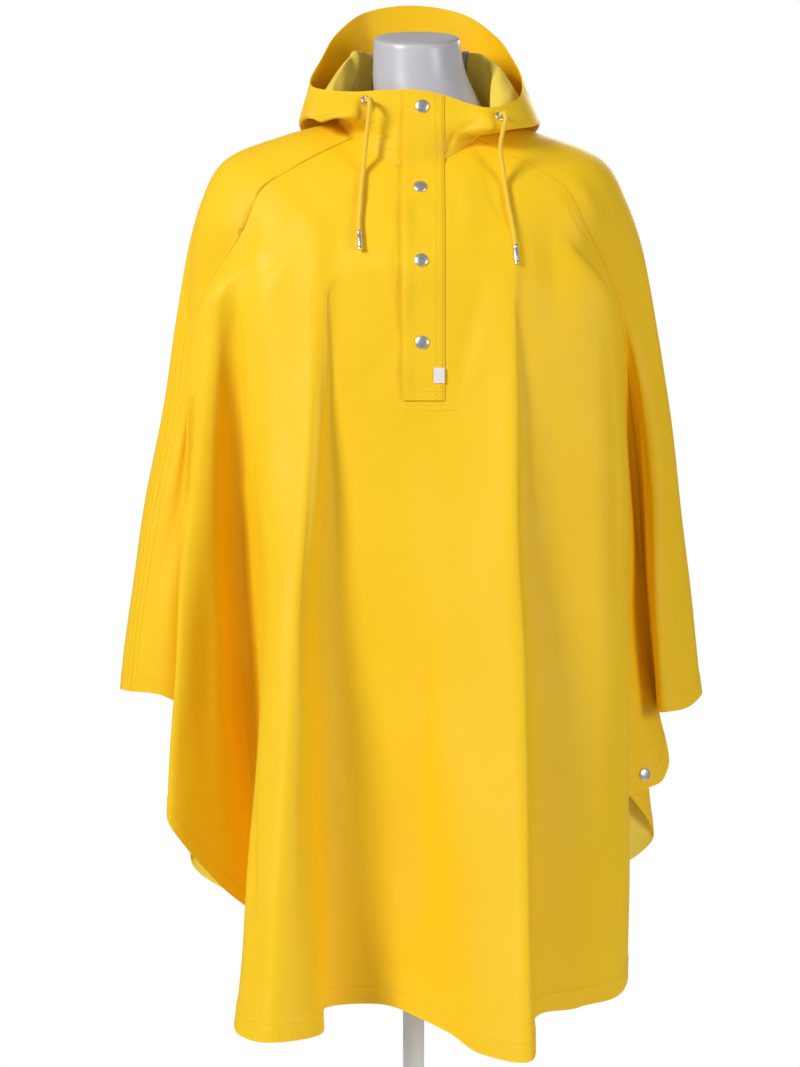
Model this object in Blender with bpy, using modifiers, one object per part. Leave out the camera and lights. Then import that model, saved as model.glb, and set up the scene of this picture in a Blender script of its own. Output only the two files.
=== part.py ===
"""Rain poncho on a limbless dress form.

Metres, +Z up. The garment faces -Y and +X is to the right of someone looking at its front.
The origin is the centre of the stand's underside.

The poncho's body is one closed surface: rings round the figure, from the neck seam to the hem,
each ring a smooth curve through one point for every fold. The panels are stretches of that
surface between seams. The hood is a second surface that starts on the neck seam.
"""
import math

import bmesh
import bpy
import numpy as np
from mathutils import Vector

# ---------------------------------------------------------------- driving dimensions
WALL = 0.002            # cloth wall
SEAM_GAP = 0.0003       # between two pieces that are sewn together
TOUCH = 0.0003          # between a piece and the one that it lies on
FORM_CLEARANCE = 0.0006  # cloth to dress form on the shoulders

CHEST_DOWN = 0.317      # from the neck seam over the shoulder to the chest ring
CHEST_Z = 1.27          # heights of the three measured rings of the skirt
HIP_Z = 0.82
LOW_Z = 0.50

PLACKET_LEFT = -0.0122  # free edge of the placket flap
PLACKET_RIGHT = 0.0335  # its sewn edge
PLACKET_BOTTOM_Z = 1.174
FLAP_WALL = 0.0016
SLIT_WIDTH = 0.003      # front opening under the flap
SLIT_BOTTOM_Z = 1.190

SNAP_DIAMETER = 0.0150
SNAP_HEIGHT = 0.0022
EYELET_OUTER = 0.0120
EYELET_HOLE = 0.0064
EYELET_HEIGHT = 0.0016
CORD_DIAMETER = 0.0052
CORD_LEAD = 0.0020      # straight out of the eyelet before the cord bends
CORD_BEND = 0.0107      # radius of that bend
CORD_TIP_DIAMETER = 0.0058
CORD_TIP_LENGTH = 0.0230
LABEL_THICKNESS = 0.0008
LINING_WALL = 0.0010

BASE_RADIUS = 0.170
BASE_THICKNESS = 0.010
HUB_RADIUS = 0.024
HUB_TOP_Z = 0.034
POLE_RADIUS = 0.0125
FORM_BOTTOM_Z = 0.850

FINEST_COLUMN = 0.024   # width aimed at for one facet of cloth round the figure
SKIRT_STEPS = 7         # facets down a fold, chest to hem

# ---------------------------------------------------------------- the yoke
# Rings that lie on the shoulders. "turn" 0 is the front, 90 the -X side, 180 the back.
# down is the distance from the neck seam, measured over the shoulder.
YOKE = (
    # name,            down, half_width, front,  back, side_z, front_z, back_z
    ("neck seam",     0.000,      0.088, 0.083, 0.080,  1.490,   1.435,  1.487),
    ("neck slope",    0.065,      0.150, 0.106, 0.104,  1.474,   1.400,  1.452),
    ("shoulder tip",  0.140,      0.222, 0.126, 0.122,  1.441,   1.358,  1.408),
    ("shoulder fall", 0.190,      0.245, 0.137, 0.131,  1.397,   1.335,  1.365),
)
YOKE_ROWS = (0.000, 0.032, 0.065, 0.102, 0.140, 0.165, 0.190, 0.250)

# ---------------------------------------------------------------- the folds of the skirt
# One row for each fold line, in order round the figure: where it leaves the shoulders (turn),
# its place in plan at the chest, hip and low rings, and the height where the hem cuts it.
FOLDS = (
    # name,               turn, chest_x, chest_y,  hip_x,  hip_y,  low_x,  low_y, hem_z
    ("front centre",         0,  0.009, -0.146,  0.013, -0.172,  0.015, -0.222, 0.495),
    ("front valley",        13, -0.092, -0.136, -0.071, -0.152, -0.047, -0.178, 0.504),
    ("left crest foot",     17, -0.099, -0.137, -0.103, -0.168, -0.100, -0.196, 0.503),
    ("left crest inner",    20, -0.104, -0.138, -0.118, -0.203, -0.103, -0.258, 0.490),
    ("left crest",          24, -0.110, -0.138, -0.138, -0.217, -0.160, -0.288, 0.489),
    ("left crest outer",    27, -0.117, -0.137, -0.158, -0.205, -0.190, -0.252, 0.488),
    ("left flank",          31, -0.163, -0.127, -0.173, -0.125, -0.176, -0.125, 0.530),
    ("left valley",         35, -0.207, -0.104, -0.180, -0.030, -0.165,  0.005, 0.552),
    ("left side inner",     39, -0.227, -0.098, -0.230, -0.062, -0.222, -0.045, 0.613),
    ("left side crest",     43, -0.242, -0.083, -0.273, -0.080, -0.288, -0.075, 0.691),
    ("left side back",      47, -0.243, -0.058, -0.264, -0.028, -0.272, -0.020, 0.712),
    ("left front raglan",   51, -0.239, -0.036, -0.238,  0.020, -0.240,  0.024, 0.775),
    ("left wing front",     58, -0.252, -0.020, -0.293,  0.000, -0.312,  0.010, 0.826),
    ("left wing seam",      88, -0.262,  0.000, -0.331,  0.022, -0.345,  0.035, 0.828),
    ("left wing crest",     93, -0.275,  0.020, -0.347,  0.050, -0.368,  0.060, 0.827),
    ("left wing back",     108, -0.266,  0.045, -0.330,  0.082, -0.350,  0.095, 0.822),
    ("left wing turn",     122, -0.250,  0.062, -0.290,  0.095, -0.300,  0.105, 0.812),
    ("left back raglan",   129, -0.240,  0.070, -0.234,  0.062, -0.232,  0.060, 0.760),
    ("left back crest",    136, -0.238,  0.098, -0.262,  0.146, -0.277,  0.155, 0.598),
    ("left back inner",    141, -0.205,  0.117, -0.215,  0.142, -0.220,  0.140, 0.560),
    ("left back valley",   146, -0.178,  0.122, -0.176,  0.126, -0.168,  0.118, 0.530),
    ("back crest one",     152, -0.150,  0.133, -0.175,  0.205, -0.195,  0.245, 0.500),
    ("back crest one in",  158, -0.120,  0.138, -0.128,  0.225, -0.140,  0.280, 0.478),
    ("back flank one",     164, -0.092,  0.138, -0.080,  0.178, -0.072,  0.195, 0.478),
    ("back valley one",    170, -0.062,  0.140, -0.045,  0.168, -0.030,  0.185, 0.474),
    ("back crest two out", 177, -0.024,  0.142,  0.000,  0.205,  0.012,  0.250, 0.462),
    ("back crest two",     183,  0.010,  0.143,  0.045,  0.225,  0.065,  0.290, 0.455),
    ("back crest two in",  189,  0.045,  0.142,  0.085,  0.213,  0.110,  0.265, 0.465),
    ("back valley two",    195,  0.080,  0.138,  0.100,  0.165,  0.112,  0.185, 0.478),
    ("back flank two",     200,  0.107,  0.136,  0.135,  0.158,  0.150,  0.175, 0.490),
    ("back crest three",   206,  0.137,  0.133,  0.178,  0.200,  0.213,  0.240, 0.500),
    ("back crest three in", 212, 0.165,  0.123,  0.205,  0.172,  0.235,  0.193, 0.530),
    ("right back valley",  218,  0.190,  0.110,  0.198,  0.115,  0.200,  0.110, 0.570),
    ("right back crest",   224,  0.240,  0.100,  0.277,  0.144,  0.306,  0.155, 0.630),
    ("right back raglan",  231,  0.240,  0.070,  0.236,  0.062,  0.236,  0.060, 0.755),
    ("right wing turn",    238,  0.252,  0.062,  0.290,  0.095,  0.300,  0.105, 0.806),
    ("right wing back",    252,  0.268,  0.042,  0.330,  0.082,  0.350,  0.095, 0.818),
    ("right wing seam",    267,  0.280,  0.020,  0.344,  0.050,  0.384,  0.060, 0.823),
    ("right wing mid",     285,  0.266,  0.004,  0.319,  0.015,  0.345,  0.030, 0.809),
    ("right wing front",   302,  0.252, -0.010,  0.291,  0.000,  0.310,  0.010, 0.806),
    ("right front raglan", 309,  0.238, -0.016,  0.290,  0.056,  0.378,  0.066, 0.803),
    ("tab edge",           311,  0.236, -0.024,  0.279,  0.044,  0.430,  0.052, 0.744),
    ("tab outer",          312,  0.232, -0.032,  0.270,  0.030,  0.405,  0.039, 0.726),
    ("tab middle",         313,  0.227, -0.041,  0.258,  0.014,  0.325,  0.023, 0.713),
    ("tab inner",          314,  0.222, -0.052,  0.243, -0.002,  0.263,  0.004, 0.702),
    ("right side valley",  316,  0.218, -0.066,  0.224, -0.035,  0.215, -0.015, 0.640),
    ("right side crest",   320,  0.226, -0.098,  0.241, -0.118,  0.243, -0.112, 0.518),
    ("right front",        328,  0.162, -0.130,  0.180, -0.165,  0.180, -0.213, 0.508),
    ("right crest foot",   333,  0.114, -0.144,  0.125, -0.196,  0.127, -0.258, 0.506),
    ("right crest",        337,  0.108, -0.147,  0.119, -0.226,  0.122, -0.325, 0.480),
    ("right crest inner",  343,  0.090, -0.148,  0.082, -0.215,  0.074, -0.300, 0.480),
    ("front right",        350,  0.042, -0.147,  0.028, -0.186,  0.037, -0.258, 0.493),
)

# ---------------------------------------------------------------- the lowered hood
# One row for each section, from the neck seam over an inner fold, down into the roll that
# lies on the shoulders, and up to the rim of the face opening.
HOOD = (
    # name,          turn, fold_x, fold_y, fold_z, roll_x, roll_y, roll_z,  rim_x,  rim_y,  rim_z
    ("front centre",   0,  0.003, -0.081,  1.465,  0.004, -0.078,  1.492,  0.005, -0.074,  1.521),
    ("left front",    18, -0.030, -0.077,  1.467, -0.031, -0.077,  1.493, -0.031, -0.072,  1.521),
    ("left collar",   34, -0.051, -0.070,  1.474, -0.053, -0.078,  1.491, -0.050, -0.071,  1.520),
    ("left eyelet",   48, -0.069, -0.062,  1.482, -0.072, -0.088,  1.490, -0.066, -0.069,  1.519),
    ("left roll",     70, -0.092, -0.035,  1.522, -0.110, -0.055,  1.491, -0.106, -0.036,  1.525),
    ("left side",     90, -0.082,  0.000,  1.553, -0.122, -0.003,  1.496, -0.119,  0.000,  1.536),
    ("left back",    115, -0.066,  0.042,  1.575, -0.128,  0.060,  1.486, -0.107,  0.045,  1.567),
    ("left crown",   140, -0.055,  0.072,  1.576, -0.098,  0.128,  1.448, -0.088,  0.088,  1.603),
    ("back left",    160, -0.030,  0.088,  1.572, -0.052,  0.150,  1.418, -0.056,  0.117,  1.629),
    ("back centre",  180,  0.000,  0.094,  1.570,  0.000,  0.154,  1.405,  0.000,  0.125,  1.638),
    ("back right",   200,  0.032,  0.088,  1.572,  0.052,  0.150,  1.418,  0.058,  0.117,  1.627),
    ("right crown",  220,  0.062,  0.072,  1.576,  0.105,  0.126,  1.448,  0.094,  0.082,  1.599),
    ("right back",   245,  0.082,  0.038,  1.570,  0.138,  0.060,  1.482,  0.115,  0.037,  1.565),
    ("right side",   270,  0.098,  0.000,  1.546,  0.141, -0.004,  1.489,  0.124,  0.000,  1.537),
    ("right roll",   290,  0.098, -0.034,  1.508,  0.130, -0.050,  1.482,  0.118, -0.041,  1.514),
    ("right eyelet", 312,  0.076, -0.062,  1.472,  0.088, -0.086,  1.476,  0.083, -0.075,  1.501),
    ("right collar", 326,  0.052, -0.072,  1.466,  0.060, -0.080,  1.479,  0.060, -0.074,  1.506),
    ("right front",  342,  0.030, -0.078,  1.463,  0.036, -0.079,  1.486,  0.037, -0.073,  1.514),
)
HOOD_KNOTS = (0.0, 0.30, 0.60, 1.0)  # neck seam, fold, roll and rim along a section
HOOD_ROWS = 14
HOOD_COLUMNS = 20       # facets round each half
HOOD_SLIT_TURN = 1.0    # half of the front opening

# ---------------------------------------------------------------- the dress form
# Below the shoulder tip the form leaves the cloth. Same columns as the yoke.
FORM_TORSO = (
    # name,     half_width, front,  back, side_z, front_z, back_z
    ("arm end",      0.212, 0.127, 0.122,  1.405,   1.325,  1.362),
    ("underarm",     0.184, 0.126, 0.114,  1.345,   1.285,  1.310),
    ("bust",         0.172, 0.122, 0.106,  1.250,   1.235,  1.240),
    ("ribs",         0.150, 0.104, 0.092,  1.140,   1.140,  1.140),
    ("waist",        0.138, 0.096, 0.086,  1.050,   1.050,  1.050),
    ("hip",          0.160, 0.104, 0.100,  0.920,   0.920,  0.920),
    ("hem of form",  0.158, 0.100, 0.100,  0.858,   0.858,  0.858),
    ("underside",    0.150, 0.092, 0.092,  0.850,   0.850,  0.850),
)
# The neck above the neck seam; lean is how much lower the front of the ring is than its back.
FORM_NECK = (
    # name,      centre_x, centre_y, radius_x, radius_y, height,  lean
    ("cap edge",    0.003,   -0.002,   0.0465,   0.0500,  1.5905, 0.024),
    ("neck top",    0.003,   -0.002,   0.0492,   0.0530,  1.5850, 0.024),
    ("neck middle", 0.006,    0.000,   0.0535,   0.0560,  1.5480, 0.030),
    ("neck base",   0.014,    0.002,   0.0630,   0.0640,  1.5100, 0.040),
)

# ---------------------------------------------------------------- small pieces
PLACKET_HOOD_ROWS = (0.985, 0.85, 0.70, 0.55, 0.40, 0.25, 0.12)
PLACKET_SNAPS = ((0.0089, 1.502), (0.0066, 1.410), (0.0077, 1.328), (0.0083, 1.238))  # x, z
LABEL_X = (0.0212, 0.0332)
LABEL_Z = (1.2100, 1.1930)
LINING_COLUMNS = (-4, 5)  # counted from the hood's back seam
LINING_ROWS = (1, 4)      # counted up the hood from the neck seam
EYELETS = {"left": (36.5, 0.84), "right": (307.0, 0.84)}  # turn, share up the hood
SIDE_SNAPS = {"right": ("tab middle", 0.730), "left": ("left side back", 0.750)}  # fold line, height

DRAWCORDS = {
    # side: places on the cord's middle line, from below its eyelet to its lower end
    "left": ((-0.0552, -0.0900, 1.4500), (-0.0571, -0.0912, 1.4290), (-0.0589, -0.1016, 1.4128),
             (-0.0603, -0.1145, 1.3888), (-0.0616, -0.1232, 1.3703), (-0.0612, -0.1276, 1.3615)),
    "right": ((0.0964, -0.0945, 1.4550), (0.0990, -0.0940, 1.4350), (0.1014, -0.0950, 1.4175),
              (0.1040, -0.1056, 1.3971), (0.1082, -0.1169, 1.3732), (0.1114, -0.1241, 1.3540),
              (0.1120, -0.1274, 1.3460)),
}

COLOURS = {
    # name:             red,   green, blue,  roughness, metallic
    "coated cloth":   (0.960, 0.640, 0.045, 0.45, 0.0),
    "form lacquer":   (0.560, 0.550, 0.590, 0.35, 0.0),
    "stand paint":    (0.800, 0.800, 0.800, 0.40, 0.0),
    "snap metal":     (0.560, 0.560, 0.570, 0.30, 1.0),
    "label tape":     (0.850, 0.850, 0.830, 0.70, 0.0),
    "grey lining":    (0.420, 0.410, 0.450, 0.80, 0.0),
    "drawcord":       (0.930, 0.590, 0.040, 0.80, 0.0),
}


# ================================================================ splines
def hermite(start, end, start_pull, end_pull, share):
    """Cubic from start to end with the given pulls, at share 0 to 1 of the way."""
    share = share[..., None]
    square = share * share
    cube = square * share
    return ((2 * cube - 3 * square + 1) * start + (cube - 2 * square + share) * start_pull
            + (3 * square - 2 * cube) * end + (cube - square) * end_pull)


def closed_spline(knots, values, at):
    """Smooth loop through values at the knots, which run from 0 and come round at 1."""
    span = np.diff(np.append(knots, knots[0] + 1.0))
    ahead = (np.roll(values, -1, axis=0) - values) / span[:, None]
    behind = np.roll(ahead, 1, axis=0)
    span_behind = np.roll(span, 1)
    weight = (span_behind / (span + span_behind))[:, None]
    pull = ahead * weight + behind * (1.0 - weight)
    at = np.mod(at, 1.0)
    here = np.searchsorted(knots, at, side="right") - 1
    after = (here + 1) % len(knots)
    step = span[here]
    share = (at - knots[here]) / step
    return hermite(values[here], values[after], pull[here] * step[:, None],
                   pull[after] * step[:, None], share)


def section_pulls(knots, rings):
    """Slope at each ring of an open section, from the rings beside it."""
    span = np.diff(knots)
    slope = [(rings[i + 1] - rings[i]) / span[i] for i in range(len(span))]
    pulls = [slope[0]]
    for i in range(1, len(span)):
        weight = span[i - 1] / (span[i - 1] + span[i])
        pulls.append(slope[i] * weight + slope[i - 1] * (1.0 - weight))
    pulls.append(slope[-1])
    return np.array(pulls)


def along_section(knots, rings, pulls, at):
    """Points at distance at along each section; rings is (ring, column, 3), at is (row, column)."""
    knots = np.asarray(knots)
    here = np.clip(np.searchsorted(knots, at, side="right") - 1, 0, len(knots) - 2)
    step = knots[here + 1] - knots[here]
    share = (at - knots[here]) / step
    column = np.broadcast_to(np.arange(at.shape[1]), at.shape)
    return hermite(rings[here, column], rings[here + 1, column],
                   pulls[here, column] * step[..., None],
                   pulls[here + 1, column] * step[..., None], share)


def unit(vectors):
    return vectors / np.linalg.norm(vectors, axis=-1, keepdims=True)


# ================================================================ the poncho's body
def ring_on_shoulders(turn, half_width, front, back, side_z, front_z, back_z):
    """Oval ring whose height falls from the shoulders' ridge to the front and the back."""
    angle = np.radians(turn)
    forward = np.cos(angle)
    depth = np.where(forward > 0, front, back)
    centre_z = np.where(forward > 0, front_z, back_z)
    x = -half_width * np.sin(angle)
    y = -depth * forward
    z = centre_z + (side_z - centre_z) * np.sin(angle) ** 2
    return np.stack([x, y, z], axis=-1)


def fold_knots():
    """Share of the way round the figure at each fold line, by distance round the hip ring."""
    hip = np.array([[row[4], row[5]] for row in FOLDS])
    low = np.array([[row[6], row[7]] for row in FOLDS])
    spans = (np.linalg.norm(np.roll(hip, -1, axis=0) - hip, axis=1)
             + np.linalg.norm(np.roll(low, -1, axis=0) - low, axis=1)) / 2
    knots = np.concatenate([[0.0], np.cumsum(spans)])
    return knots[:-1] / knots[-1], spans


KNOTS, SPANS = fold_knots()
FOLD_AT = {row[0]: knot for row, knot in zip(FOLDS, KNOTS)}
SKIRT_RINGS = ((2, CHEST_Z), (4, HIP_Z), (6, LOW_Z))  # first of the ring's columns in FOLDS, height
DOWN = np.array([ring[1] for ring in YOKE] + [CHEST_DOWN + CHEST_Z - height for _, height in SKIRT_RINGS])


def turn_at(around):
    """The turn on the shoulders at each share of the way round."""
    turns = np.array([row[1] for row in FOLDS]) / 360.0
    drift = closed_spline(KNOTS, (turns - KNOTS)[:, None], around)[:, 0]
    return (around + drift) * 360.0


def down_at_hem(around):
    """Distance down each fold line at which the hem cuts it."""
    hem = closed_spline(KNOTS, np.array([[row[8]] for row in FOLDS]), around)[:, 0]
    return CHEST_DOWN + CHEST_Z - hem


def body_pulls(rings):
    """Slopes down the body; below the shoulders none is so steep that the cloth bulges past its rings."""
    pulls = section_pulls(DOWN, rings)
    span = np.diff(DOWN)
    slope = np.diff(rings, axis=0) / span[:, None, None]
    for i in range(len(YOKE), len(rings) - 1):
        above, below = slope[i - 1], slope[i]
        same_way = above * below > 0
        spread = (2 * span[i] + span[i - 1]) * below + (span[i] + 2 * span[i - 1]) * above
        settled = 3 * (span[i - 1] + span[i]) * above * below / np.where(same_way, spread, 1.0)
        pulls[i] = np.where(same_way, settled, 0.0)
    pulls[len(YOKE):, :, 2] = -1.0  # the skirt hangs straight down
    return pulls


def body_surface(around, down):
    """Middle of the cloth at share around (columns) and distance down (rows, columns)."""
    turn = turn_at(around)
    rings = [ring_on_shoulders(turn, *ring[2:]) for ring in YOKE]
    for first, height in SKIRT_RINGS:
        plan = np.array([row[first:first + 2] for row in FOLDS])
        flat = closed_spline(KNOTS, plan, around)
        rings.append(np.column_stack([flat, np.full(len(flat), height)]))
    rings = np.array(rings)
    return along_section(DOWN, rings, body_pulls(rings), down)


def both_ways(surface, around, down, aside=0.007):
    """Unit directions from each point of a surface to the cloth on either side of it."""
    middle = surface(around, down)
    return unit(surface(around - aside, down) - middle), unit(surface(around + aside, down) - middle)


def outward(surface, around, down):
    """Unit normals on the side away from the figure; in a sharp groove they halve its angle."""
    below = 0.0001
    before, after = both_ways(surface, around, down)
    along = surface(around, down + below) - surface(around, down - below)
    return unit(np.cross(after - before, along))


def columns_between(start, end):
    """Shares round the figure for the facets from one fold line to another."""
    first = [row[0] for row in FOLDS].index(start)
    columns = []
    i = first
    while True:
        steps = max(1, round(SPANS[i] / FINEST_COLUMN))
        share = (KNOTS[(i + 1) % len(FOLDS)] - KNOTS[i]) % 1.0
        columns += [KNOTS[i] + share * step / steps for step in range(steps)]
        i = (i + 1) % len(FOLDS)
        if FOLDS[i][0] == end:
            break
    columns.append(KNOTS[i])
    return np.unwrap(np.array(columns), period=1.0)


def rows_down(around):
    """Distances down for every row of facets, (rows, columns), the last on the hem."""
    yoke = np.repeat(np.array(YOKE_ROWS)[:, None], len(around), axis=1)
    share = np.linspace(0.0, 1.0, SKIRT_STEPS + 1)[:, None]
    skirt = CHEST_DOWN + share * (down_at_hem(around) - CHEST_DOWN)[None, :]
    return np.vstack([yoke, skirt])


# ================================================================ meshes
COLLECTION = None
MATERIALS = {}


def material(name):
    """A plain finish, made once."""
    if name not in MATERIALS:
        red, green, blue, roughness, metallic = COLOURS[name]
        finish = bpy.data.materials.new(name.replace(" ", "_"))
        finish.use_nodes = True
        shader = finish.node_tree.nodes["Principled BSDF"]
        shader.inputs["Base Color"].default_value = (red, green, blue, 1.0)
        shader.inputs["Roughness"].default_value = roughness
        shader.inputs["Metallic"].default_value = metallic
        finish.diffuse_color = (red, green, blue, 1.0)
        MATERIALS[name] = finish
    return MATERIALS[name]


def add_object(name, mesh, finish):
    mesh.materials.clear()
    mesh.materials.append(material(finish))
    piece = bpy.data.objects.new(name, mesh)
    COLLECTION.objects.link(piece)
    return piece


def step_back(points, distance, row=None, column=None):
    """Move one edge row or column (0 or -1) of a grid towards the middle of the piece."""
    points = points.copy()
    if column is not None:
        beside = 1 if column == 0 else -2
        points[:, column] += unit(points[:, beside] - points[:, column]) * np.reshape(distance, (-1, 1))
    if row is not None:
        beside = 1 if row == 0 else -2
        points[row] += unit(points[beside] - points[row]) * np.reshape(distance, (-1, 1))
    return points


def wall(name, finish, outer, inner, keep=None):
    """Solid between two grids of points: both faces, and a rim along every free edge."""
    rows, columns = outer.shape[:2]
    if keep is None:
        keep = np.ones((rows - 1, columns - 1), dtype=bool)
    bm = bmesh.new()
    vertices = {}

    def corner(side, row, column):
        key = (side, row, column)
        if key not in vertices:
            grid = outer if side == 0 else inner
            vertices[key] = bm.verts.new(grid[row, column])
        return vertices[key]

    def kept(row, column):
        return 0 <= row < rows - 1 and 0 <= column < columns - 1 and keep[row, column]

    for row in range(rows - 1):
        for column in range(columns - 1):
            if not kept(row, column):
                continue
            loop = [(row, column), (row + 1, column), (row + 1, column + 1), (row, column + 1)]
            bm.faces.new([corner(0, *place) for place in loop])
            bm.faces.new([corner(1, *place) for place in reversed(loop)])
            beside = [(row, column - 1), (row + 1, column), (row, column + 1), (row - 1, column)]
            for i, neighbour in enumerate(beside):
                if not kept(*neighbour):
                    a, b = loop[i], loop[(i + 1) % 4]
                    bm.faces.new([corner(0, *b), corner(0, *a), corner(1, *a), corner(1, *b)])
    bmesh.ops.triangulate(bm, faces=bm.faces, quad_method="SHORT_EDGE")
    bmesh.ops.recalc_face_normals(bm, faces=bm.faces)
    mesh = bpy.data.meshes.new(name)
    bm.to_mesh(mesh)
    bm.free()
    mesh.shade_smooth()
    mesh.set_sharp_from_angle(angle=math.radians(50))
    return add_object(name, mesh, finish)


def cloth(name, points, normals, thickness=WALL, keep=None, finish="coated cloth"):
    """A cloth wall with the given points in its middle; returns the points of its outer face."""
    half = thickness / 2
    outer = points + normals * half
    wall(name, finish, outer, points - normals * half, keep)
    return outer


def turned(name, profile, finish, steps=24, ring=False):
    """A turned piece: profile is (radius, height), bottom to top up its outer side."""
    bm = bmesh.new()
    corners = [bm.verts.new((radius, 0.0, height)) for radius, height in reversed(profile)]
    for start, end in zip(corners, corners[1:]):
        bm.edges.new((start, end))
    if ring:
        bm.edges.new((corners[-1], corners[0]))
    mesh = bpy.data.meshes.new(name)
    bm.to_mesh(mesh)
    bm.free()
    piece = add_object(name, mesh, finish)
    screw = piece.modifiers.new("turn", "SCREW")
    screw.axis = "Z"
    screw.steps = steps
    screw.render_steps = steps
    screw.use_merge_vertices = True
    screw.merge_threshold = 1e-5
    screw.use_smooth_shade = True
    return piece


def stand_on(piece, point, normal):
    """Put a turned piece's underside at a point, its axis along a normal."""
    piece.location = point
    piece.rotation_mode = "QUATERNION"
    piece.rotation_quaternion = Vector(normal).to_track_quat("Z", "Y")


def facet_points(face, steps=16):
    """Points spread over a grid's facets, each cell split along its shorter diagonal."""
    top, low, far_low, far = face[:-1, :-1], face[1:, :-1], face[1:, 1:], face[:-1, 1:]
    share = np.linspace(0.0, 1.0, steps + 1)
    down = share[:, None, None, None, None]
    over = share[None, :, None, None, None]
    split_one = (top + np.minimum(down, over) * (far_low - top)
                 + np.maximum(down - over, 0.0) * (low - top) + np.maximum(over - down, 0.0) * (far - top))
    near_top = top + down * (low - top) + over * (far - top)
    near_low = far_low + (1.0 - down) * (far - far_low) + (1.0 - over) * (low - far_low)
    split_two = np.where(down + over <= 1.0, near_top, near_low)
    shorter = np.linalg.norm(far_low - top, axis=-1) <= np.linalg.norm(far - low, axis=-1)
    return np.where(shorter[..., None], split_one, split_two).reshape(-1, 3)


def rest_on(face, spot, normal, radius):
    """Where the middle of a flat disc comes to lie over a spot on a cloth's outer face."""
    offset = facet_points(face) - spot
    height = offset @ normal
    beside = np.linalg.norm(offset - height[:, None] * normal, axis=1) < 1.1 * radius
    return spot + normal * (height[beside & (np.abs(height) < radius)].max() + TOUCH)


def tube(name, route, diameter, finish, resolution=2):
    """A round cord along a list of points."""
    curve = bpy.data.curves.new(name, "CURVE")
    curve.dimensions = "3D"
    curve.bevel_depth = diameter / 2
    curve.bevel_resolution = resolution
    curve.use_fill_caps = True
    spline = curve.splines.new("POLY")
    spline.points.add(len(route) - 1)
    for point, place in zip(spline.points, route):
        point.co = (*place, 1.0)
    curve.materials.append(material(finish))
    piece = bpy.data.objects.new(name, curve)
    COLLECTION.objects.link(piece)
    return piece


# ================================================================ neck seam
def neck_gap(turn):
    """How far each side of the neck seam steps back, so that the two walls meet in a mitre."""
    shares = np.linspace(0.0, 1.0, 721)[:-1]
    around = np.interp(np.mod(turn, 360.0), np.append(turn_at(shares), 360.0), np.append(shares, 1.0))
    on_seam = np.zeros((1, len(around)))
    body_side = outward(body_surface, around, on_seam)[0]
    hood_side = -outward(hood_surface, turn / 360.0, on_seam)[0]
    angle = np.arccos(np.clip((body_side * hood_side).sum(axis=1), -1.0, 1.0))
    return SEAM_GAP / 2 + WALL / 2 * np.tan(angle / 2)


# ================================================================ panels
def side_gap(seam, down):
    """How far each side of a seam down the body steps back; more where the seam is in a groove."""
    before, after = both_ways(body_surface, np.array([seam]), down)
    half_angle_sine = np.sqrt((1.0 - (before * after).sum(axis=-1)) / 2)
    return SEAM_GAP / 2 / half_angle_sine


def panel_grid(around):
    """Points and normals of a stretch of the body, trimmed back at its neck and side seams."""
    down = rows_down(around)
    points = body_surface(around, down)
    normals = outward(body_surface, around, down)
    points = step_back(points, neck_gap(turn_at(around)), row=0)
    for column in (0, -1):
        gap = side_gap(around[column], down[:, column:][:, :1])
        points = step_back(points, gap, column=column)
    return points, normals


def make_panel(name, start, end):
    """The stretch of the body's surface between two seams."""
    points, normals = panel_grid(columns_between(start, end))
    return cloth(name, points, normals)


def make_front():
    """The front panel, slit from the neck under the placket."""
    around = columns_between("right front raglan", "left front raglan")
    middle = np.argmin(np.abs(around - np.round(around)))
    chest = body_surface(around[middle:middle + 2], np.full((1, 2), CHEST_DOWN))[0]
    half_slit = (around[middle + 1] - around[middle]) * SLIT_WIDTH / 2
    half_slit /= np.linalg.norm(chest[1] - chest[0])
    around = np.insert(around, middle + 1, around[middle] + half_slit)
    around[middle] -= half_slit
    points, normals = panel_grid(around)
    keep = np.ones((len(points) - 1, len(around) - 1), dtype=bool)
    keep[points[1:, middle, 2] > SLIT_BOTTOM_Z, middle] = False
    return cloth("front_panel", points, normals, keep=keep)


def make_body():
    front = make_front()
    make_panel("sleeve_front_left", "left front raglan", "left wing seam")
    make_panel("sleeve_back_left", "left wing seam", "left back raglan")
    make_panel("back_panel", "left back raglan", "right back raglan")
    make_panel("sleeve_back_right", "right back raglan", "right wing seam")
    make_panel("sleeve_front_right", "right wing seam", "right front raglan")
    return front


# ================================================================ hood
def hood_surface(around, up):
    """Middle of the hood's cloth at share around and share up from the neck seam to the rim."""
    turn = np.mod(around, 1.0) * 360.0
    knots = np.array([row[1] for row in HOOD]) / 360.0
    rings = [ring_on_shoulders(turn, *YOKE[0][2:])]
    for first in (2, 5, 8):
        rings.append(closed_spline(knots, np.array([row[first:first + 3] for row in HOOD]), around))
    rings = np.array(rings)
    return along_section(HOOD_KNOTS, rings, section_pulls(HOOD_KNOTS, rings), up)


def hood_grid(columns, rows):
    """Points and normals for a range of the hood's columns and rows."""
    column = np.arange(columns[0], columns[1] + 1)
    around = 0.5 + column / HOOD_COLUMNS * (0.5 - HOOD_SLIT_TURN / 360.0)
    row = np.arange(rows[0], rows[1] + 1)
    up = np.repeat((row / HOOD_ROWS)[:, None], len(column), axis=1)
    return around, hood_surface(around, up), -outward(hood_surface, around, up)


def make_hood_half(name, columns, seam_column):
    around, points, normals = hood_grid(columns, (0, HOOD_ROWS))
    points = step_back(points, neck_gap(around * 360.0), row=0)
    points = step_back(points, SEAM_GAP / 2, column=seam_column)
    return cloth(name, points, normals)


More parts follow.
